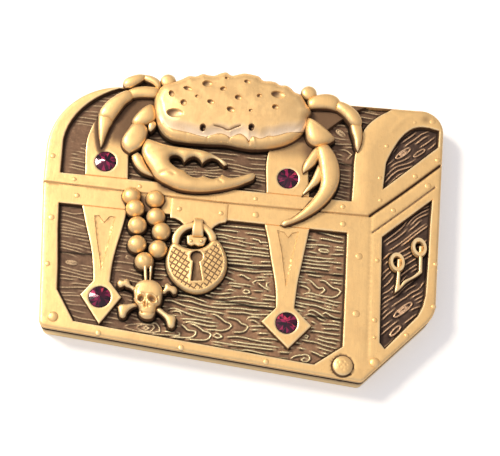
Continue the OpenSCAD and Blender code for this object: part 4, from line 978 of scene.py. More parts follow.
relief("crab_right_legs", [limb(curve(q), c, 1.0, foot=f) for q, c, f in LEGS_RIGHT]
       + [limb(circle((7.25, 20.75), 1.15), 1.0, 1.0, foot=0.1)])
R_ARM = xy("""
    7.2,16.9 7.9,16.75 8.6,16.4 9.6,15.6 10.5,14.8 11.1,14.1 11.15,13.7 10.7,13.2 10,12.75 9,12.4 8,12.5 7.3,13.1
    6.95,14.2 6.85,15.2 6.95,16.2""")


def cup_cut(P, d):
    """The slanted end of the right arm."""
    s = (P[:, 0] - 9.3) * 0.62 + (P[:, 1] - 14.6) * 0.78
    return 0.8 * np.clip(s - 0.35, 0, None) - 0.06 * peak(s, 0.35, 0.2)


relief("crab_right_arm", [limb(curve(R_ARM), 1.6, 1.0, carve=cup_cut, foot=0.35)])
R_CLAW = [
    (xy("""
    9.2,12.9 10.2,12.95 11.1,11.7 11.75,10.2 12,8.5 11.9,7.2 11.4,5.8 10.5,4.4 9.3,3.1 8,2.1 6.5,1.2 5.2,.6 4.5,.38
    4.1,.6 4.35,1.05 5.7,1.75 6.7,2.65 7.7,3.85 8.5,5 9.1,6.1 9.3,7.2 9.1,8.6 8.9,10.2 8.6,11.3 8.5,12.4"""),
     1.45, 0.3),
    (xy("""
    9.8,7.8 9.2,7.05 8.3,6.25 7.5,5.55 6.8,5 7.15,5.9 7.6,6.7 8.15,7.8 8.5,8.8 8.9,9.9 9.7,9.6 10.1,8.6"""),
     0.95, 0.2),
    (xy("9.1,10.6 8.3,9.5 7.5,8.8 6.85,8.35 6.75,8.9 6.9,9.8 7.5,11 8.1,12 8.6,12.6 9.4,12.3 9.7,11.3"),
     1.05, 0.2)]
relief("crab_right_claw", [limb(curve(q), c, 0.95, foot=f) for q, c, f in R_CLAW])

# ------------------------------------------------------------------ hasp, staple and padlock

HASP = rounded(xy("""
    -10.95,3.6 -10.95,.62 -10.3,.62 -9.55,.3 -9,-.2 -8.75,-.6 -5.2,-.6 -4.8,-.1 -4.2,.32 -3.35,.55 -3.15,.9
    -3.15,3.25"""), [0.1, 0.1, 0.3, 0.6, 0.5, 0, 0, 0.6, 0.7, 0.2, 0.2, 0.1])


def hasp_top(P, d, u):
    """A flat plate with rounded edges."""
    return BAND + 0.03 + ball(d, 0.16, 0.12) + ripple(P, 0.012, 1.4, 9) * step_up(0, 0.4, d)


relief("hasp_plate", [shell([HASP], hasp_top, FLOOR_PLATE, (0.06, 0.14), 0.35)])
LOCK = curve(xy("""
    -10.3,-3 -10.85,-4.1 -11.05,-5.5 -10.85,-6.7 -10.2,-7.95 -9.2,-8.95 -7.9,-9.65 -6.6,-9.85 -5.3,-9.5 -4.1,-8.6
    -3.2,-7.4 -2.8,-6 -2.85,-4.8 -3.3,-3.5 -4,-2.4 -4.75,-1.85 -5.25,-2.4 -5.7,-3 -6.4,-3.45 -7.4,-3.65 -8.4,-3.55
    -9.2,-3.2 -9.7,-2.85"""), True, 0.18)
KEY = np.concatenate([curve(xy("""
    -6.5,-5.55 -6.2,-5.2 -6.1,-4.7 -6.35,-4.2 -6.95,-3.98 -7.55,-4.2 -7.8,-4.7 -7.7,-5.2 -7.4,-5.55"""), False, 0.12),
                      along((-7.4, -5.6), (-7.5, -8.25), 0.15)[1:], along((-7.5, -8.3), (-5.95, -8.15), 0.15)[1:],
                      along((-5.95, -8.1), (-6.5, -5.6), 0.15)[1:]])
BAY = xy("-10,-3.3 -9.3,-3.6 -8.4,-3.95 -7.4,-4.05 -6.2,-3.8 -5.4,-3.3 -4.9,-2.6")


def lock_top(P, d, u):
    """The padlock: a pillow with a raised rim, a keyhole and the bay under the shackle."""
    z = BAND + ball(d, 0.55, 0.7) + 0.22 * step_up(0, 3.5, d)
    key = distance([KEY], P)
    hole = inside([KEY], P)
    bay = distance([curve(BAY, False, 0.2)], P, False)
    quiet = np.maximum.reduce([np.exp(-(key / 0.5) ** 4), np.exp(-(bay / 0.42) ** 4), 1 - step_up(0.38, 0.6, d)])
    z -= 0.05 * (1 - quiet)
    z += 0.05 * peak(key, 0.14, 0.14) * ~hole
    z += 0.05 * peak(bay, 0, 0.25)
    return z - np.where(hole, 0.45 * step_up(0, 0.13, key), 0) + ripple(P, 0.012, 0.8, 12)


def hatching(P):
    """Two families of cut lines, kept off the rim, the keyhole and the bay."""
    key = np.where(inside([KEY], P), 0, distance([KEY], P))
    bay = distance([curve(BAY, False, 0.2)], P, False)
    rim = distance([LOCK], P) * inside([LOCK], P)
    out = dict(quiet=step_up(0.3, 0.42, key) * step_up(0.3, 0.42, bay) * step_up(0.45, 0.62, rim))
    for name, turn, pitch in (("hatch_a", 62, 0.62), ("hatch_b", -30, 0.64)):
        t = math.radians(turn)
        out[name] = ((P[:, 0] + 7) * -math.sin(t) + (P[:, 1] + 5.7) * math.cos(t)) / pitch + 30.25
    # Inside the keyhole: patina, near-black along its upper left edge as painted shadow.
    deep = distance([KEY], P) * inside([KEY], P)
    side = distance([KEY + np.array([0.16, -0.16])], P) + 2.0 * ~inside([KEY + np.array([0.16, -0.16])], P)
    out["ink"] = np.where(deep > 0, np.where(side < 1.9, 0.42, 0.9), 0.0) * step_up(0, 0.05, deep)
    return out


key_in = wound([KEY])[0]
lock = shell([LOCK], lock_top, FLOOR_PLATE, (0.06, 0.15, 0.28, 0.42), 0.13,
             [closed(q) for q in (key_in, key_in + normals(key_in) * 0.1)])
relief("padlock_body", [lock], material="gold_hatched", extra=hatching(lock[0][:, :2]))
SHACKLE = curve(xy("""
    -10.4,-3.4 -10.45,-2.2 -10,-1.2 -9.2,-.4 -8.2,0 -7.2,.15 -6.2,0 -5.4,-.5 -4.75,-1.2 -4.4,-1.95 -4.55,-2.6
    -5.15,-2.7 -5.45,-2.3 -5.7,-1.7 -6.2,-1.15 -7,-.85 -8,-.95 -8.7,-1.35 -9.2,-2 -9.4,-2.8 -9.5,-3.5"""), True, 0.16)
relief("padlock_shackle", [limb(SHACKLE, 0.62, 1.15, foot=0.3, pitch=0.12)])
STRAP = rounded(xy("-7.62,.85 -7.8,-1.2 -7.75,-2 -6.25,-1.95 -6.3,-1.1 -6.5,.8"),
                [0.2, 0.5, 0.1, 0.1, 0.5, 0.2])
STAPLE = rounded(xy("""
    -8.5,-1.8 -8.35,-3 -7.75,-3.2 -7.3,-3 -6.8,-3.2 -6.1,-3.05 -5.7,-1.95 -6.4,-1.6 -7.9,-1.6"""),
                 [0.15, 0.25, 0.1, 0.1, 0.1, 0.25, 0.15, 0.1, 0.1])


def strap_top(P, d, u):
    """The staple's strap, which rolls over the shackle."""
    roll = np.clip((P[:, 1] + 2.0) / 2.8, 0, 1)
    return BAND + 0.25 + 0.75 * np.sqrt(np.clip(1 - (2 * roll - 0.95) ** 2, 0, 1)) + ball(d, 0.28, 0.16)


relief("hasp_staple", [
    shell([STRAP], strap_top, FLOOR_PLATE, (0.05, 0.12, 0.2), 0.14),
    shell([STAPLE], lambda P, d, u: BAND + 0.18 + ball(d, 0.2, 0.22), FLOOR_PLATE, (0.06, 0.15), 0.2),
    *(limb(circle(c, 0.27, 0.08), 0.25, 0.9, 0.02, BAND + 0.3, pitch=0.08) for c in ((-7.85, -2.55), (-6.45, -2.5)))])

# ------------------------------------------------------------------ beads, link, skull and bones

BEADS = xy("""
    -16.4,3.3 -15.75,1.55 -15.25,-.85 -15.05,-3.55 -13.9,-5.9 -13.15,3.1 -12.85,.55 -11.95,-1.5 -12.2,-4.05""")


def bead(c, r):
    """One bead, with the last one's marks."""
    def top(P, d, u):
        q = np.clip(1 - (((P - c) ** 2).sum(1) / (r * r)) ** 1.3, 0, 1)
        marks = 0.06 * bell(P, [(-14.05, -5.75), (-13.8, -5.85)], 0.1) + 0.05 * bell(P, [(-13.75, -6.05)], 0.07)
        return BAND + 0.12 + (r - 0.06) * q ** 0.55 + 0.02 * grain_noise(P, 0.8, 3) - marks
    return shell([circle(c, r, 0.14)], top, FLOOR_PLATE, (0.03, 0.09, 0.2, 0.35), 0.17, lined=True)


beads = [bead(np.array(c), 1.31) for c in BEADS]
relief("bead_strand", beads, extra=dict(near_offset=np.full(sum(len(b[0]) for b in beads), -0.04)))
LINK = [rounded([(-13.98, -6.5), (-13.58, -9.1), (-13.15, -9.1), (-13.42, -6.5)], [0.1, 0.15, 0.15, 0.1], 0.15),
        rounded([(-13.15, -6.5), (-13.0, -8.95), (-12.72, -8.95), (-12.66, -6.5)], [0.1] * 4, 0.15)]
relief("charm_link", [limb(q, 0.5, 1.5, foot=f, pitch=0.11) for q, f in zip(LINK, (0.75, 0.6))])
SKULL = xy("""
    -13,-8.5 -13.9,-8.6 -14.5,-8.95 -14.85,-9.6 -14.95,-10.25 -14.8,-10.9 -14.85,-11.45 -14.5,-11.9 -14.15,-12.35
    -14.02,-12.75 -14.05,-13.15 -13.8,-13.6 -13.3,-13.92 -12.6,-13.97 -12.1,-13.75 -11.83,-13.2 -11.78,-12.7
    -11.68,-12.25 -11.3,-11.95 -11.12,-11.4 -11.05,-10.6 -11.1,-9.8 -11.35,-9.2 -11.9,-8.75 -12.4,-8.53""")


def skull_carve(P, d):
    """Sockets, the nose, the temples and the line of the jaw."""
    x, y = P[:, 0], P[:, 1] + 0.3
    cut = np.zeros(len(P))
    for cx, cy, a, b, turn, deep in ((-13.85, -11.0, .46, .5, 0, .5), (-12.38, -11.0, .62, .42, -38, .46)):
        e = oval(x, y, cx, cy, a, b, turn)[0]
        cut += deep * np.clip(1 - e ** 2.4, 0, 1) - 0.07 * peak(e, 1.25, 0.2)
    Q = np.column_stack([x, y])
    for q, depth, w in (([(-13.3, -11.5), (-13.28, -11.8), (-13.2, -12.05)], .26, .13),
                        ([(-12.8, -11.75), (-12.75, -12.0)], .12, .12), ([(-13.02, -11.4), (-13.0, -12.0)], -.1, .12),
                        ([(-14.35, -9.3), (-14.55, -9.8), (-14.6, -10.4)], .12, .09),
                        ([(-11.65, -10.6), (-11.5, -11.3)], .12, .1), ([(-12.7, -11.6), (-12.1, -11.85)], -.1, .14),
                        ([(-13.95, -12.55), (-13.55, -12.85)], .2, .1),
                        ([(-11.75, -12.5), (-12.1, -12.75)], .14, .12),
                        ([(-14.4, -12.2), (-13.9, -12.3)], .12, .2), ([(-13.6, -12.9), (-12.2, -12.9)], .07, .14),
                        ([(-13.9, -10.3), (-13.3, -10.4), (-12.6, -10.35)], -.07, .2)):
        cut += depth * bell(Q, q, w)
    return cut + 0.07 * peak(y + 12.6, 0, 0.5)


skull = limb(curve(SKULL), 1.25, 1.0, carve=skull_carve, foot=0.3, pitch=0.085)
relief("skull", [skull], extra=dict(ink=np.clip(1.15 * skull_carve(skull[0][:, :2], 0) - 0.04, 0, 0.55)))
BONES = [
    xy("""
    -17.1,-8.8 -16.75,-8.62 -16.42,-8.8 -16.2,-8.52 -15.85,-8.48 -15.55,-8.75 -15.45,-9.15 -14.6,-9.65 -14.3,-10.2
    -14.9,-10.2 -15.5,-9.85 -15.95,-9.75 -16.2,-9.6 -16.45,-9.78 -16.8,-9.85 -17.1,-9.55 -17.2,-9.15"""),
    xy("""
    -11.3,-9.9 -10.95,-9.45 -10.97,-9 -10.72,-8.75 -10.35,-8.78 -10.05,-9.08 -9.65,-9.1 -9.3,-9.32 -9.15,-9.75
    -9.3,-10.2 -9.65,-10.32 -9.95,-10.1 -10.15,-9.92 -10.45,-10 -10.7,-10.28 -11.1,-10.35 -11.6,-10.6 -11.7,-10.2"""),
    xy("""
    -14.3,-11.7 -15,-11.82 -15.7,-12 -16.5,-12.1 -16.85,-12.4 -16.75,-12.95 -16.62,-13.4 -16.5,-13.8 -16.1,-14
    -15.7,-13.85 -15.48,-13.25 -15.1,-12.75 -14.6,-12.4 -14.2,-12.3"""),
    xy("""
    -11.7,-12.1 -11.2,-12.2 -10.5,-12.7 -9.9,-13.02 -9.35,-13.1 -9.05,-13.5 -9.1,-14.1 -9.15,-14.65 -9.5,-14.95
    -9.95,-14.85 -10.2,-14.4 -10.45,-13.8 -11,-13.25 -11.6,-12.85 -12,-12.6""")]
relief("crossbones", [limb(curve(q, step=0.15), 0.75, 1.1, foot=0.25, pitch=0.1) for q in BONES])

# ------------------------------------------------------------------ side handle

HANDLE = xy("""
    20.75,-3 20.2,-3 20.05,-6.4 19.8,-8.05 20.4,-7.6 21.6,-6.3 23,-5.35 23.65,-4.8 23.7,-.9 23.15,-.9 23.1,-4.55
    22.3,-5.3 21,-6.15 20.62,-6.75""")
relief("side_handle", [limb(curve(HANDLE, True, 0.14, 30), 0.36, 1.25, level=FIELD + 0.2, foot=0.4, pitch=0.11)])


def ring_top(P, d, u):
    """The round back of a handle's ring."""
    return FIELD + 0.35 + 0.55 * np.clip(u / 0.27, 0, 1.2)


relief("handle_rings", [shell([circle(c, 1.08, 0.14, 1.32, 8), circle(c, 0.5, 0.12, 1.45, 8)], ring_top, FLOOR_PLATE,
                              (0.05, 0.12, 0.2), 0.12, puff=True) for c in ((20.2, -3.5), (23.2, -1.15))])

# ------------------------------------------------------------------ studs, rivet, washer and tray


def stud(x, y, r, high, level=BAND):
    """One small domed stud."""
    def top(P, d, u):
        return level - 0.02 + ball(d, r, high)
    return shell([circle((x, y), r, 0.1)], top, level - 0.3, (0.04, 0.1), 0.12)


relief("dome_studs", [stud(x, y, r * 1.08, 0.12) for x, y, r in STUDS]
       + [stud(x, y, r, 0.26) for x, y, r in BIG_STUDS]
       + [stud(x, y, r, 0.13, BAND + 0.15) for x, y, r in HASP_STUDS])


def rivet_top(P, d, u):
    """The rivet's domed head with its tooling."""
    r = np.linalg.norm(P - PIVOT, axis=1)
    z = BAND + 0.2 + 0.42 * np.sqrt(np.clip(1 - (r / 1.36) ** 2.4, 0, 1))
    for x, y, w in ((0.45, 0.1, .12), (0.1, 0.5, .1), (-0.35, -0.2, .1), (0.5, -0.4, .1), (-0.1, 0.05, .08),
                    (0.0, -0.6, .09), (-0.6, 0.35, .08), (0.75, 0.35, .07)):
        z -= 0.07 * peak(np.hypot(P[:, 0] - PIVOT[0] - x, P[:, 1] - PIVOT[1] - y), 0, w)
    return z + 0.02 * grain_noise(P, 0.35, 7)


shank = shell([circle(PIVOT, 0.8, 0.12)], level_top(BAND + 0.1), 0.06, (), 0.4)
tail = shell([circle(PIVOT, 1.14, 0.12)], level_top(0.44), 0.06, (), 0.4)
head = shell([circle(PIVOT, 1.29, 0.12)], rivet_top, BAND + 0.01, (0.04, 0.1, 0.2), 0.12)
piece("pivot_rivet_head", [head, shank, tail], "gold", ["pivot_rivet"], body=CASE)
tray_ring = wound([PLATE])[0]
rim_line, boss = tray_ring + normals(tray_ring) * 1.4, circle(PIVOT, 2.4, 0.2)
hollow = merge([rim_line, boss], lambda P: inside([rim_line], P) & ~inside([boss], P))


def tray_top(P, d, u):
    """The tray: its rim, the wall's fall and the floor with a soft inner corner."""
    wall = distance([hollow], P)
    deep = inside([hollow], P)
    fall = np.where(deep, 1.7 * step_up(0.0, 0.22, wall), 0)
    fillet = 0.35 * peak(wall, 0.2, 0.35) * deep
    return TRAY - bevel(d, 0.16) - fall + fillet * 0.4 + ripple(P, 0.02, 1.9, 15) * deep


brink = wound([hollow])[0]
hollow_rows = [closed(brink + normals(brink) * o) for o in (0, 0.08, 0.2, 0.45)]
tray = shell([PLATE, BORE], tray_top, HALF, (0.04, 0.1, 0.2), 0.8, hollow_rows)


def back_top(P, d, u):
    """The back's depth below the joint of the halves: its rim, its small bevel and the recess."""
    recess = BACK_DEPTH * step_up(0.0, 0.1, distance([hollow], P))
    return HALF - bevel(d, 0.14) - np.where(inside([hollow], P), recess, 0)


V, F, tops, wall = shell([PLATE, circle(PIVOT, 1.2, 0.15)], back_top, 0.0, (0.06, 0.14), 1.0, hollow_rows[:2])
V[:, 2] = HALF - V[:, 2]
back = (V, [f[::-1] for f in F], tops, wall)
foot = np.concatenate([tray[0], V])
fillet = peak(distance([hollow], foot[:, :2]), 0.2, 0.3) * inside([hollow], foot[:, :2])
# The tray's inner corner darkens: painted shade.
piece("case_tray_shell", [tray, back], "gold_case", ["case_tray"], body=CASE, extra=dict(soot=0.3 * fillet))
washer = shell([circle(PIVOT, 1.69, 0.15), BORE], level_top(BOTTOM - 0.01), TRAY, (0.05,), 0.4)
piece("spacer_washer_ring", [washer], "gold_case", ["spacer_washer"], body=CASE)

# ------------------------------------------------------------------ how high each place stands over what is round it

CELL, REACH = 0.12, 31.0              # of the grid: a cell and half its width
EDGE_X, EDGE_Y, SKY = 30, 24.5, 9     # half the area that is looked at, and a height over all


def height_map(rows):
    """Heights of the relief on a square grid, seen from above."""
    V = np.concatenate([r["V"] for r in rows])
    start, tris = 0, []
    for r in rows:
        tris += [[i + start for i in t] for t in r["tops"]]
        start += len(r["V"])
    tree = BVHTree.FromPolygons(V.tolist(), tris)
    n = int(2 * REACH / CELL)
    H = np.zeros((n, n))
    down = Vector((0, 0, -1))
    for j in range(n):
        for i in range(n):
            x, y = -REACH + (i + 0.5) * CELL, -REACH + (j + 0.5) * CELL
            if abs(y) < EDGE_Y and abs(x) < EDGE_X:
                hit = tree.ray_cast(Vector((x, y, SKY)), down)[0]
                if hit is not None:
                    H[j, i] = hit.z
    H[H == 0] = FIELD
    return H


def blurred(H, sigma):
    """The grid's heights as a mean over about sigma mm."""
    k = np.arange(-int(3 * sigma / CELL) - 1, int(3 * sigma / CELL) + 2)
    w = np.exp(-0.5 * (k * CELL / sigma) ** 2)
    w /= w.sum()
    H = sum(np.roll(H, s, 0) * q for s, q in zip(k, w))
    return sum(np.roll(H, s, 1) * q for s, q in zip(k, w))


def sample(H, P):
    """The grid's value at each point."""
    q = (P + REACH) / CELL - 0.5
    i = np.clip(np.floor(q).astype(int), 0, H.shape[0] - 2)
    f = q - i
    a = H[i[:, 1], i[:, 0]] * (1 - f[:, 0]) + H[i[:, 1], i[:, 0] + 1] * f[:, 0]
    b = H[i[:, 1] + 1, i[:, 0]] * (1 - f[:, 0]) + H[i[:, 1] + 1, i[:, 0] + 1] * f[:, 0]
    return a * (1 - f[:, 1]) + b * f[:, 1]


# NEAR and WIDE give how far a place stands over its surroundings; the materials paint shade and highlights from them.
HEIGHT = height_map([r for r in PIECES if r["material"] != "gold_case"])
NEAR, WIDE = blurred(HEIGHT, 0.22), blurred(HEIGHT, 1.1)

# ------------------------------------------------------------------ materials


class Graph:
    """A small helper for node materials."""

    def __init__(self, name):
        self.mat = bpy.data.materials.new(name)
        self.mat.use_nodes = True
        self.tree = self.mat.node_tree
        self.bsdf = self.tree.nodes["Principled BSDF"]
        self.place = self.add("TexCoord").outputs["Object"]

    def add(self, kind, values=None, **settings):
        n = self.tree.nodes.new("ShaderNode" + kind)
        for k, v in settings.items():
            setattr(n, k, v)
        for k, v in (values or {}).items():
            self.put(n.inputs[k], v)
        return n

    def put(self, socket, v):
        """Link a socket, or set its value."""
        if isinstance(v, bpy.types.NodeSocket):
            self.tree.links.new(v, socket)
        elif isinstance(v, tuple) and len(v) == 3 and socket.type == "RGBA":
            socket.default_value = v + (1,)
        else:
            socket.default_value = v

    def noise(self, size, detail, rough=0.55, stretch=None):
        """Noise whose cells are about size mm wide; stretch is three scales and a turn."""
        where = self.place
        if stretch:
            where = self.add("Mapping", {"Vector": where, "Rotation": (0, 0, stretch[3]),
                                         "Scale": stretch[:3]}).outputs[0]
        return self.add("TexNoise", {"Vector": where, "Scale": 1000 / size, "Detail": detail,
                                     "Roughness": rough}).outputs["Fac"]

    def attr(self, name):
        """A value that the mesh has at each point."""
        return self.add("Attribute", attribute_name=name).outputs["Fac"]

    def math(self, op, a, b=0.0, c=0.0, clamp=False):
        """One math node."""
        return self.add("Math", {0: a, 1: b, 2: c}, operation=op, use_clamp=clamp).outputs[0]

    def most(self, first, *more):
        """The greatest of the values."""
        for v in more:
            first = self.math("MAXIMUM", first, v)
        return first

    def span(self, v, a, b, lo=0.0, hi=1.0):
        """v's place between a and b, smooth, as a value between lo and hi."""
        return self.add("MapRange", {"Value": v, "From Min": a, "From Max": b, "To Min": lo, "To Max": hi},
                        interpolation_type="SMOOTHSTEP").outputs[0]

    def mix(self, f, a, b):
        """Colour a where f is 0 and b where it is 1."""
        n = self.add("Mix", data_type="RGBA")
        self.put(n.inputs[0], f)
        self.put(n.inputs[6], a)
        self.put(n.inputs[7], b)
        return n.outputs[2]

    def bump(self, height, depth, strength, normal=None):
        """A bump of a height, laid over the one before."""
        v = {"Height": height, "Distance": depth * MM, "Strength": strength}
        if normal is not None:
            v["Normal"] = normal
        return self.add("Bump", v).outputs[0]

    def done(self, **values):
        """Set the shader's inputs and give the material."""
        for k, v in values.items():
            self.put(self.bsdf.inputs[k.replace("_", " ")], v)
        return self.mat


def gold(name, case=False, hatched=False):
    """Satin antique gold: lighter on raised places (rubbed wear with painted highlight); tan to near-black in
    hollows, beside tall forms, on walls and in gaps (patina with painted shade); pale where pale is set (painted
    reflection).
    """
    g = Graph(name)
    near = g.attr("near")
    cloud = g.noise(3.2, 4)
    spots = g.noise(0.5, 5, 0.6)
    speck = g.noise(0.16, 3, 0.6)
    brushed = g.noise(1.0, 3, 0.6, (4.5, 0.35, 1, 0.1))
    # Raised places turn lighter and yellower, rubbed wear with painted highlight; lower places turn tan, patina with
    # painted shade.
    wear_and_highlight = g.math("MULTIPLY_ADD", cloud, 0.14, near)
    tone = g.mix(g.span(wear_and_highlight, -0.24, -0.02), (0.47, 0.305, 0.145), (1.0, 0.655, 0.286))
    tone = g.mix(g.span(wear_and_highlight, 0.10, 0.34, 0, 0.8), tone, (1.0, 0.79, 0.47))
    # Painted reflection where pale is set, with less metal.
    tone = g.mix(g.attr("pale"), tone, (1.0, 0.86, 0.72))
    tone = g.mix(g.span(brushed, 0.42, 0.75, 0, 0.16), tone, (0.74, 0.48, 0.22))
    tone = g.mix(g.span(spots, 0.58, 0.74, 0, 0.32), tone, (0.6, 0.38, 0.17))
    tone = g.mix(g.span(cloud, 0.46, 0.68, 0, 0.3), tone, (0.80, 0.50, 0.22))
    # Darkening from low places, from nearness to taller forms and from the marks: patina with painted shade.
    low = g.math("MULTIPLY_ADD", g.math("SUBTRACT", spots, 0.5), -0.15, near)
    patina_and_shade = g.most(g.span(low, -0.15, -0.38, 0, 0.93), g.span(g.attr("wide"), -0.22, -0.9, 0, 0.62), g.attr("ink"))
    if hatched:
        cuts = []
        for key in ("hatch_a", "hatch_b"):
            saw = g.math("ABSOLUTE", g.math("SUBTRACT", g.math("FRACT", g.attr(key)), 0.5))
            cuts.append(g.span(g.math("MULTIPLY_ADD", speck, 0.08, saw), 0.22, 0.1))
        lines = g.math("MULTIPLY", g.most(*cuts), g.attr("quiet"))
        patina_and_shade = g.most(patina_and_shade, g.math("MULTIPLY", lines, 0.42))
    g.bsdf.inputs["Specular Tint"].default_value = (1.0, 0.82, 0.62, 1)
    if case:
        tone = g.mix(0.75, tone, (1.0, 0.81, 0.46))
        patina_and_shade = g.most(patina_and_shade, g.attr("soot"))
    # Brown, then near-black where patina_and_shade is high: patina with painted shade.
    tone = g.mix(g.span(patina_and_shade, 0, 0.5), tone, (0.20, 0.115, 0.066))
    tone = g.mix(g.span(patina_and_shade, 0.4, 1.0), tone, (0.014, 0.005, 0.002))
    rough = g.span(g.math("MULTIPLY_ADD", speck, 0.35, spots), 0.45, 0.95, 0.40, 0.54)
    rough = g.math("MULTIPLY_ADD", patina_and_shade, 0.25, rough, clamp=True)
    metal = g.math("SUBTRACT", 0.4 if case else 0.72, g.math("MULTIPLY", patina_and_shade, 0.35))
    metal = g.math("SUBTRACT", metal, g.math("MULTIPLY", g.attr("pale"), 0.4))
    bump = None
    for height, depth, strength in ((speck, 0.015, 0.5), (spots, 0.03, 0.4), (brushed, 0.02, 0.4),
                                    (cloud, 0.12, 0.35)):
        bump = g.bump(height, depth, strength, bump)
    if hatched:
        bump = g.bump(g.math("SUBTRACT", 1.0, lines), 0.07, 1.0, bump)
    return g.done(Base_Color=tone, Metallic=metal, Roughness=rough, Normal=bump)


def wood_paint(name):
    """Struck wood grain: rubbed tan ridges with painted shadow below them, over a brown ground that turns near-black
    by its rims and beside tall forms (painted shade with patina).

    The tint mixes the front's light woods (0) with the dark ones of the lid, the side and the end (1).
    """
    g = Graph(name)
    g.bsdf.inputs["Specular Tint"].default_value = (1.0, 0.8, 0.62, 1)
    strength, tint, wide = g.attr("strength"), g.attr("tone"), g.attr("wide")
    spots = g.noise(0.35, 4, 0.6)
    rope = g.noise(0.2, 1, 0.5)
    speck = g.noise(0.12, 3, 0.6)
    off = g.math("MULTIPLY_ADD", g.math("SUBTRACT", rope, 0.5), 0.16, g.attr("off"))
    worn = g.math("MULTIPLY", g.span(off, 0.15, 0.055), g.span(rope, 0.34, 0.52, 0.8, 1.5))
    worn = g.math("MULTIPLY", worn, strength, clamp=True)
    # Ridges dimmer deep among tall forms: painted shade.
    worn = g.math("MULTIPLY", worn, g.span(wide, -1.5, -0.6, 0.35, 1.0))
    groove = g.math("MULTIPLY", g.attr("groove"), g.span(strength, 0.05, 0.7, 0.0, 1.0), clamp=True)
    tone = g.mix(tint, (0.33, 0.186, 0.108), (0.084, 0.052, 0.042))
    brown = g.mix(tint, (0.19, 0.105, 0.066), (0.034, 0.021, 0.018))
    tone = g.mix(g.span(g.noise(1.7, 3), 0.38, 0.68, 0, 0.6), tone, brown)
    tan = g.mix(tint, (0.54, 0.315, 0.175), (0.12, 0.072, 0.052))
    tone = g.mix(g.span(spots, 0.45, 0.7, 0, 0.35), tone, tan)
    # The groove below each ridge near-black: painted shadow.
    tone = g.mix(g.math("MULTIPLY", groove, 0.97), tone, (0.012, 0.006, 0.006))
    top = g.mix(tint, (1.0, 0.84, 0.50), (0.78, 0.50, 0.31))
    gleam = g.mix(tint, (1.0, 0.96, 0.72), (0.96, 0.66, 0.42))
    tone = g.mix(worn, tone, g.mix(g.span(speck, 0.52, 0.7, 0, 0.5), top, gleam))
    # Near-black by the feet of taller forms, along the rims and deep among tall forms: painted shade with patina.
    shade_and_patina = g.most(g.span(g.attr("near"), -0.09, -0.3, 0, 0.95), g.math("MULTIPLY", g.attr("edge"), 0.95),
                  g.span(wide, -0.7, -1.6, 0, 0.85))
    tone = g.mix(shade_and_patina, tone, (0.008, 0.005, 0.004))
    tone = g.mix(g.math("MULTIPLY", g.attr("plank"), 0.95), tone, (0.012, 0.007, 0.006))
    bump = g.bump(g.math("SUBTRACT", worn, g.math("MULTIPLY", groove, 0.5)), 0.10, 0.8)
    bump = g.bump(g.math("ADD", speck, spots), 0.025, 0.5, bump)
    return g.done(Base_Color=tone, Metallic=g.span(worn, 0, 1, 0.55, 0.75), Roughness=g.span(worn, 0, 1, 0.6, 0.46),
                  Normal=bump)


def crystal_glass(name):
    """Wine-red glass, each facet in a tone of its own."""
    g = Graph(name)
    depth = g.noise(0.6, 2)
    mixed = g.math("MULTIPLY_ADD", depth, 0.25, g.attr("facet"))
    tone = g.mix(g.span(mixed, 0.3, 0.9), (0.016, 0.001, 0.009), (0.10, 0.004, 0.032))
    tone = g.mix(g.span(mixed, 0.86, 1.0, 0, 1), tone, (0.36, 0.014, 0.085))
    tone = g.mix(g.span(mixed, 1.07, 1.11, 0, 0.85), tone, (0.72, 0.06, 0.11))
    for socket, v in (("Coat Weight", 0.5), ("Coat Roughness", 0.03), ("Specular IOR Level", 0.35)):
        g.bsdf.inputs[socket].default_value = v
    return g.done(Base_Color=tone, Metallic=0.3, Roughness=g.span(depth, 0.3, 0.7, 0.12, 0.2),
                  Normal=g.bump(depth, 0.01, 0.2))


MATERIALS = {"gold": gold("antique_gold"), "gold_case": gold("antique_gold_case", case=True),
             "gold_hatched": gold("antique_gold_hatched", hatched=True), "wood": wood_paint("struck_wood_grain"),
             "crystal": crystal_glass("wine_crystal")}


# ------------------------------------------------------------------ making the pieces

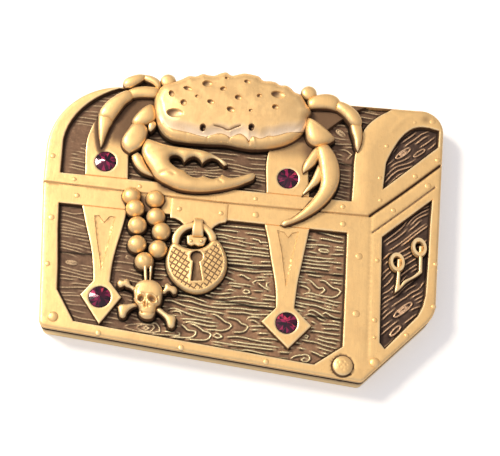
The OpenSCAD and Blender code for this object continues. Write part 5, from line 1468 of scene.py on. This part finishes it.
def build(row):
    """The mesh object of one piece, with what its material reads."""
    mesh = bpy.data.meshes.new(row["name"])
    V = row["V"] * MM
    V[:, :2] += SHIFT * MM
    mesh.from_pydata(V.tolist(), [], row["F"])
    mesh.validate()
    mesh.polygons.foreach_set("use_smooth", [True] * len(mesh.polygons))
    mesh.set_sharp_from_angle(angle=math.radians(row["sharp"]))
    P, z = row["V"][:, :2], row["V"][:, 2]
    values = dict(row["extra"])
    if row["material"] != "gold_case":
        seen = z > BOTTOM
        values["near"] = np.clip(z - sample(NEAR, P), -1, 1) * seen + values.pop("near_offset", 0)
        values["wide"] = np.clip(z - sample(WIDE, P), -2, 2) * seen
        # Walls darken: painted shade with patina at their foot; the cover's outer wall is left out.
        wall = row["wall"] if row["name"] != "cover_frame" else row["wall"] * (distance(COVER_RIM, P) > 0.3)
        values["ink"] = np.maximum(values.get("ink", 0), 0.62 * wall * seen)
    else:
        values["near"], values["wide"] = np.full(len(P), 0.06), np.zeros(len(P))
        # The gap between cover and tray and the edges beside it darken: painted shade.
        gap = np.abs(z - (TRAY + BOTTOM) / 2) - (BOTTOM - TRAY) / 2
        lip = (1 - step_up(0.1, 0.32, gap)) * (1 - step_up(0.1, 0.19, distance([PLATE], P)))
        values["soot"] = np.maximum(values.get("soot", 0), lip)
    for key, v in values.items():
        mesh.attributes.new(key, "FLOAT", "POINT").data.foreach_set("value", np.asarray(v, np.float32))
    if row["material"] == "crystal":
        rnd = np.array([math.sin(12.9898 * p.center.x / MM + 78.233 * p.center.y / MM) * 43758.5453 % 1
                        for p in mesh.polygons], np.float32)
        mesh.attributes.new("facet", "FLOAT", "FACE").data.foreach_set("value", rnd)
    mesh.materials.append(MATERIALS[row["material"]])
    obj = bpy.data.objects.new(row["name"], mesh)
    bpy.context.scene.collection.objects.link(obj)
    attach(obj, row["body"])
    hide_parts(*row["nodes"])


for row in PIECES:
    build(row)

# ------------------------------------------------------------------ floor, light and camera

scene = bpy.context.scene
scene.view_settings.view_transform = "Standard"


def add_floor(size=1.2, n=24):
    """The pale ground: a square of n by n faces, size metres wide, that glows a little for the camera."""
    at = (np.arange(n + 1) / n - 0.5) * size
    V = [(x, y, 0.0) for y in at for x in at]
    F = [(j * (n + 1) + i, j * (n + 1) + i + 1, (j + 1) * (n + 1) + i + 1, (j + 1) * (n + 1) + i)
         for j in range(n) for i in range(n)]
    mesh = bpy.data.meshes.new("floor")
    mesh.from_pydata(V, [], F)
    g = Graph("pale_floor")
    g.bsdf.inputs["Specular IOR Level"].default_value = 0.1
    seen = g.add("LightPath").outputs["Is Camera Ray"]
    mesh.materials.append(g.done(Base_Color=g.mix(g.noise(40, 3), (0.91, 0.90, 0.90), (0.93, 0.92, 0.91)),
                                 Roughness=0.9, Emission_Color=(1, 0.965, 0.95),
                                 Emission_Strength=g.math("MULTIPLY", seen, 0.29)))
    obj = bpy.data.objects.new("floor", mesh)
    scene.collection.objects.link(obj)


def add_world(strength=0.785, brightest=(-0.28, -0.20, 0.94)):
    """A studio dome that is brightest in one direction; the camera itself sees plain white."""
    world = bpy.data.worlds.new("soft_studio")
    world.use_nodes = True
    tree = world.node_tree
    tree.nodes.clear()

    def add(kind, *links):
        node = tree.nodes.new("ShaderNode" + kind)
        for socket, source in enumerate(links):
            tree.links.new(source, node.inputs[socket])
        return node

    dot = add("VectorMath", add("TexCoord").outputs["Generated"])
    dot.operation = "DOT_PRODUCT"
    dot.inputs[1].default_value = tuple(Vector(brightest).normalized())
    half = add("MapRange", dot.outputs["Value"])
    half.inputs["From Min"].default_value = -1
    ramp = add("ValToRGB", half.outputs[0])
    e = ramp.color_ramp.elements
    e[0].position, e[0].color = 0.36, (0.30, 0.27, 0.31, 1)
    e[1].position, e[1].color = 0.985, (1.0, 0.975, 1.0, 1)
    for at, v in ((0.62, 0.44), (0.80, 0.62), (0.90, 0.82)):
        e.new(at).color = (v, v * 0.965, v, 1)
    soft, white = add("Background", ramp.outputs[0]), add("Background")
    soft.inputs["Strength"].default_value = strength
    white.inputs["Color"].default_value = (1, 1, 1, 1)
    pick = add("MixShader", add("LightPath").outputs["Is Camera Ray"], soft.outputs[0], white.outputs[0])
    add("OutputWorld", pick.outputs[0])
    scene.world = world


def add_lamp(name, place, size, watts, colour):
    """A square area lamp, size metres wide, aimed at the middle."""
    data = bpy.data.lights.new(name, "AREA")
    data.size, data.energy, data.color = size, watts, colour
    obj = bpy.data.objects.new(name, data)
    obj.location = place
    obj.rotation_euler = (Vector((0, 0, 0)) - Vector(place)).to_track_quat("-Z", "Y").to_euler()
    scene.collection.objects.link(obj)


add_floor()
add_world()
add_lamp("key", (-0.37, 0.19, 0.42), 0.14, 3.3, (1.0, 0.92, 0.77))

# The camera: where it stands round the object, how high, its roll, its distance (m) and its lens (mm).
AZIMUTH, RISE, ROLL, FAR = math.radians(-5.2), math.radians(70), math.radians(8.8), 0.16063
LENS, SENSOR, CLIP = 85, 36, (0.01, 10)
back = Vector((math.sin(AZIMUTH) * math.cos(RISE), -math.cos(AZIMUTH) * math.cos(RISE), math.sin(RISE)))
level = (-back).cross(Vector((0, 0, 1))).normalized()
upright = level.cross(-back)
right = math.cos(ROLL) * level + math.sin(ROLL) * upright
up = -math.sin(ROLL) * level + math.cos(ROLL) * upright
spot = Vector((SHIFT[0] * MM, SHIFT[1] * MM, BAND * MM)) + back * FAR
lens = bpy.data.cameras.new("camera")
lens.lens, lens.sensor_width, (lens.clip_start, lens.clip_end) = LENS, SENSOR, CLIP
camera = bpy.data.objects.new("camera", lens)
camera.matrix_world = Matrix(((right.x, up.x, back.x, spot.x), (right.y, up.y, back.y, spot.y),
                              (right.z, up.z, back.z, spot.z), (0, 0, 0, 1)))
scene.collection.objects.link(camera)
scene.camera = camera

bpy.context.view_layer.update()
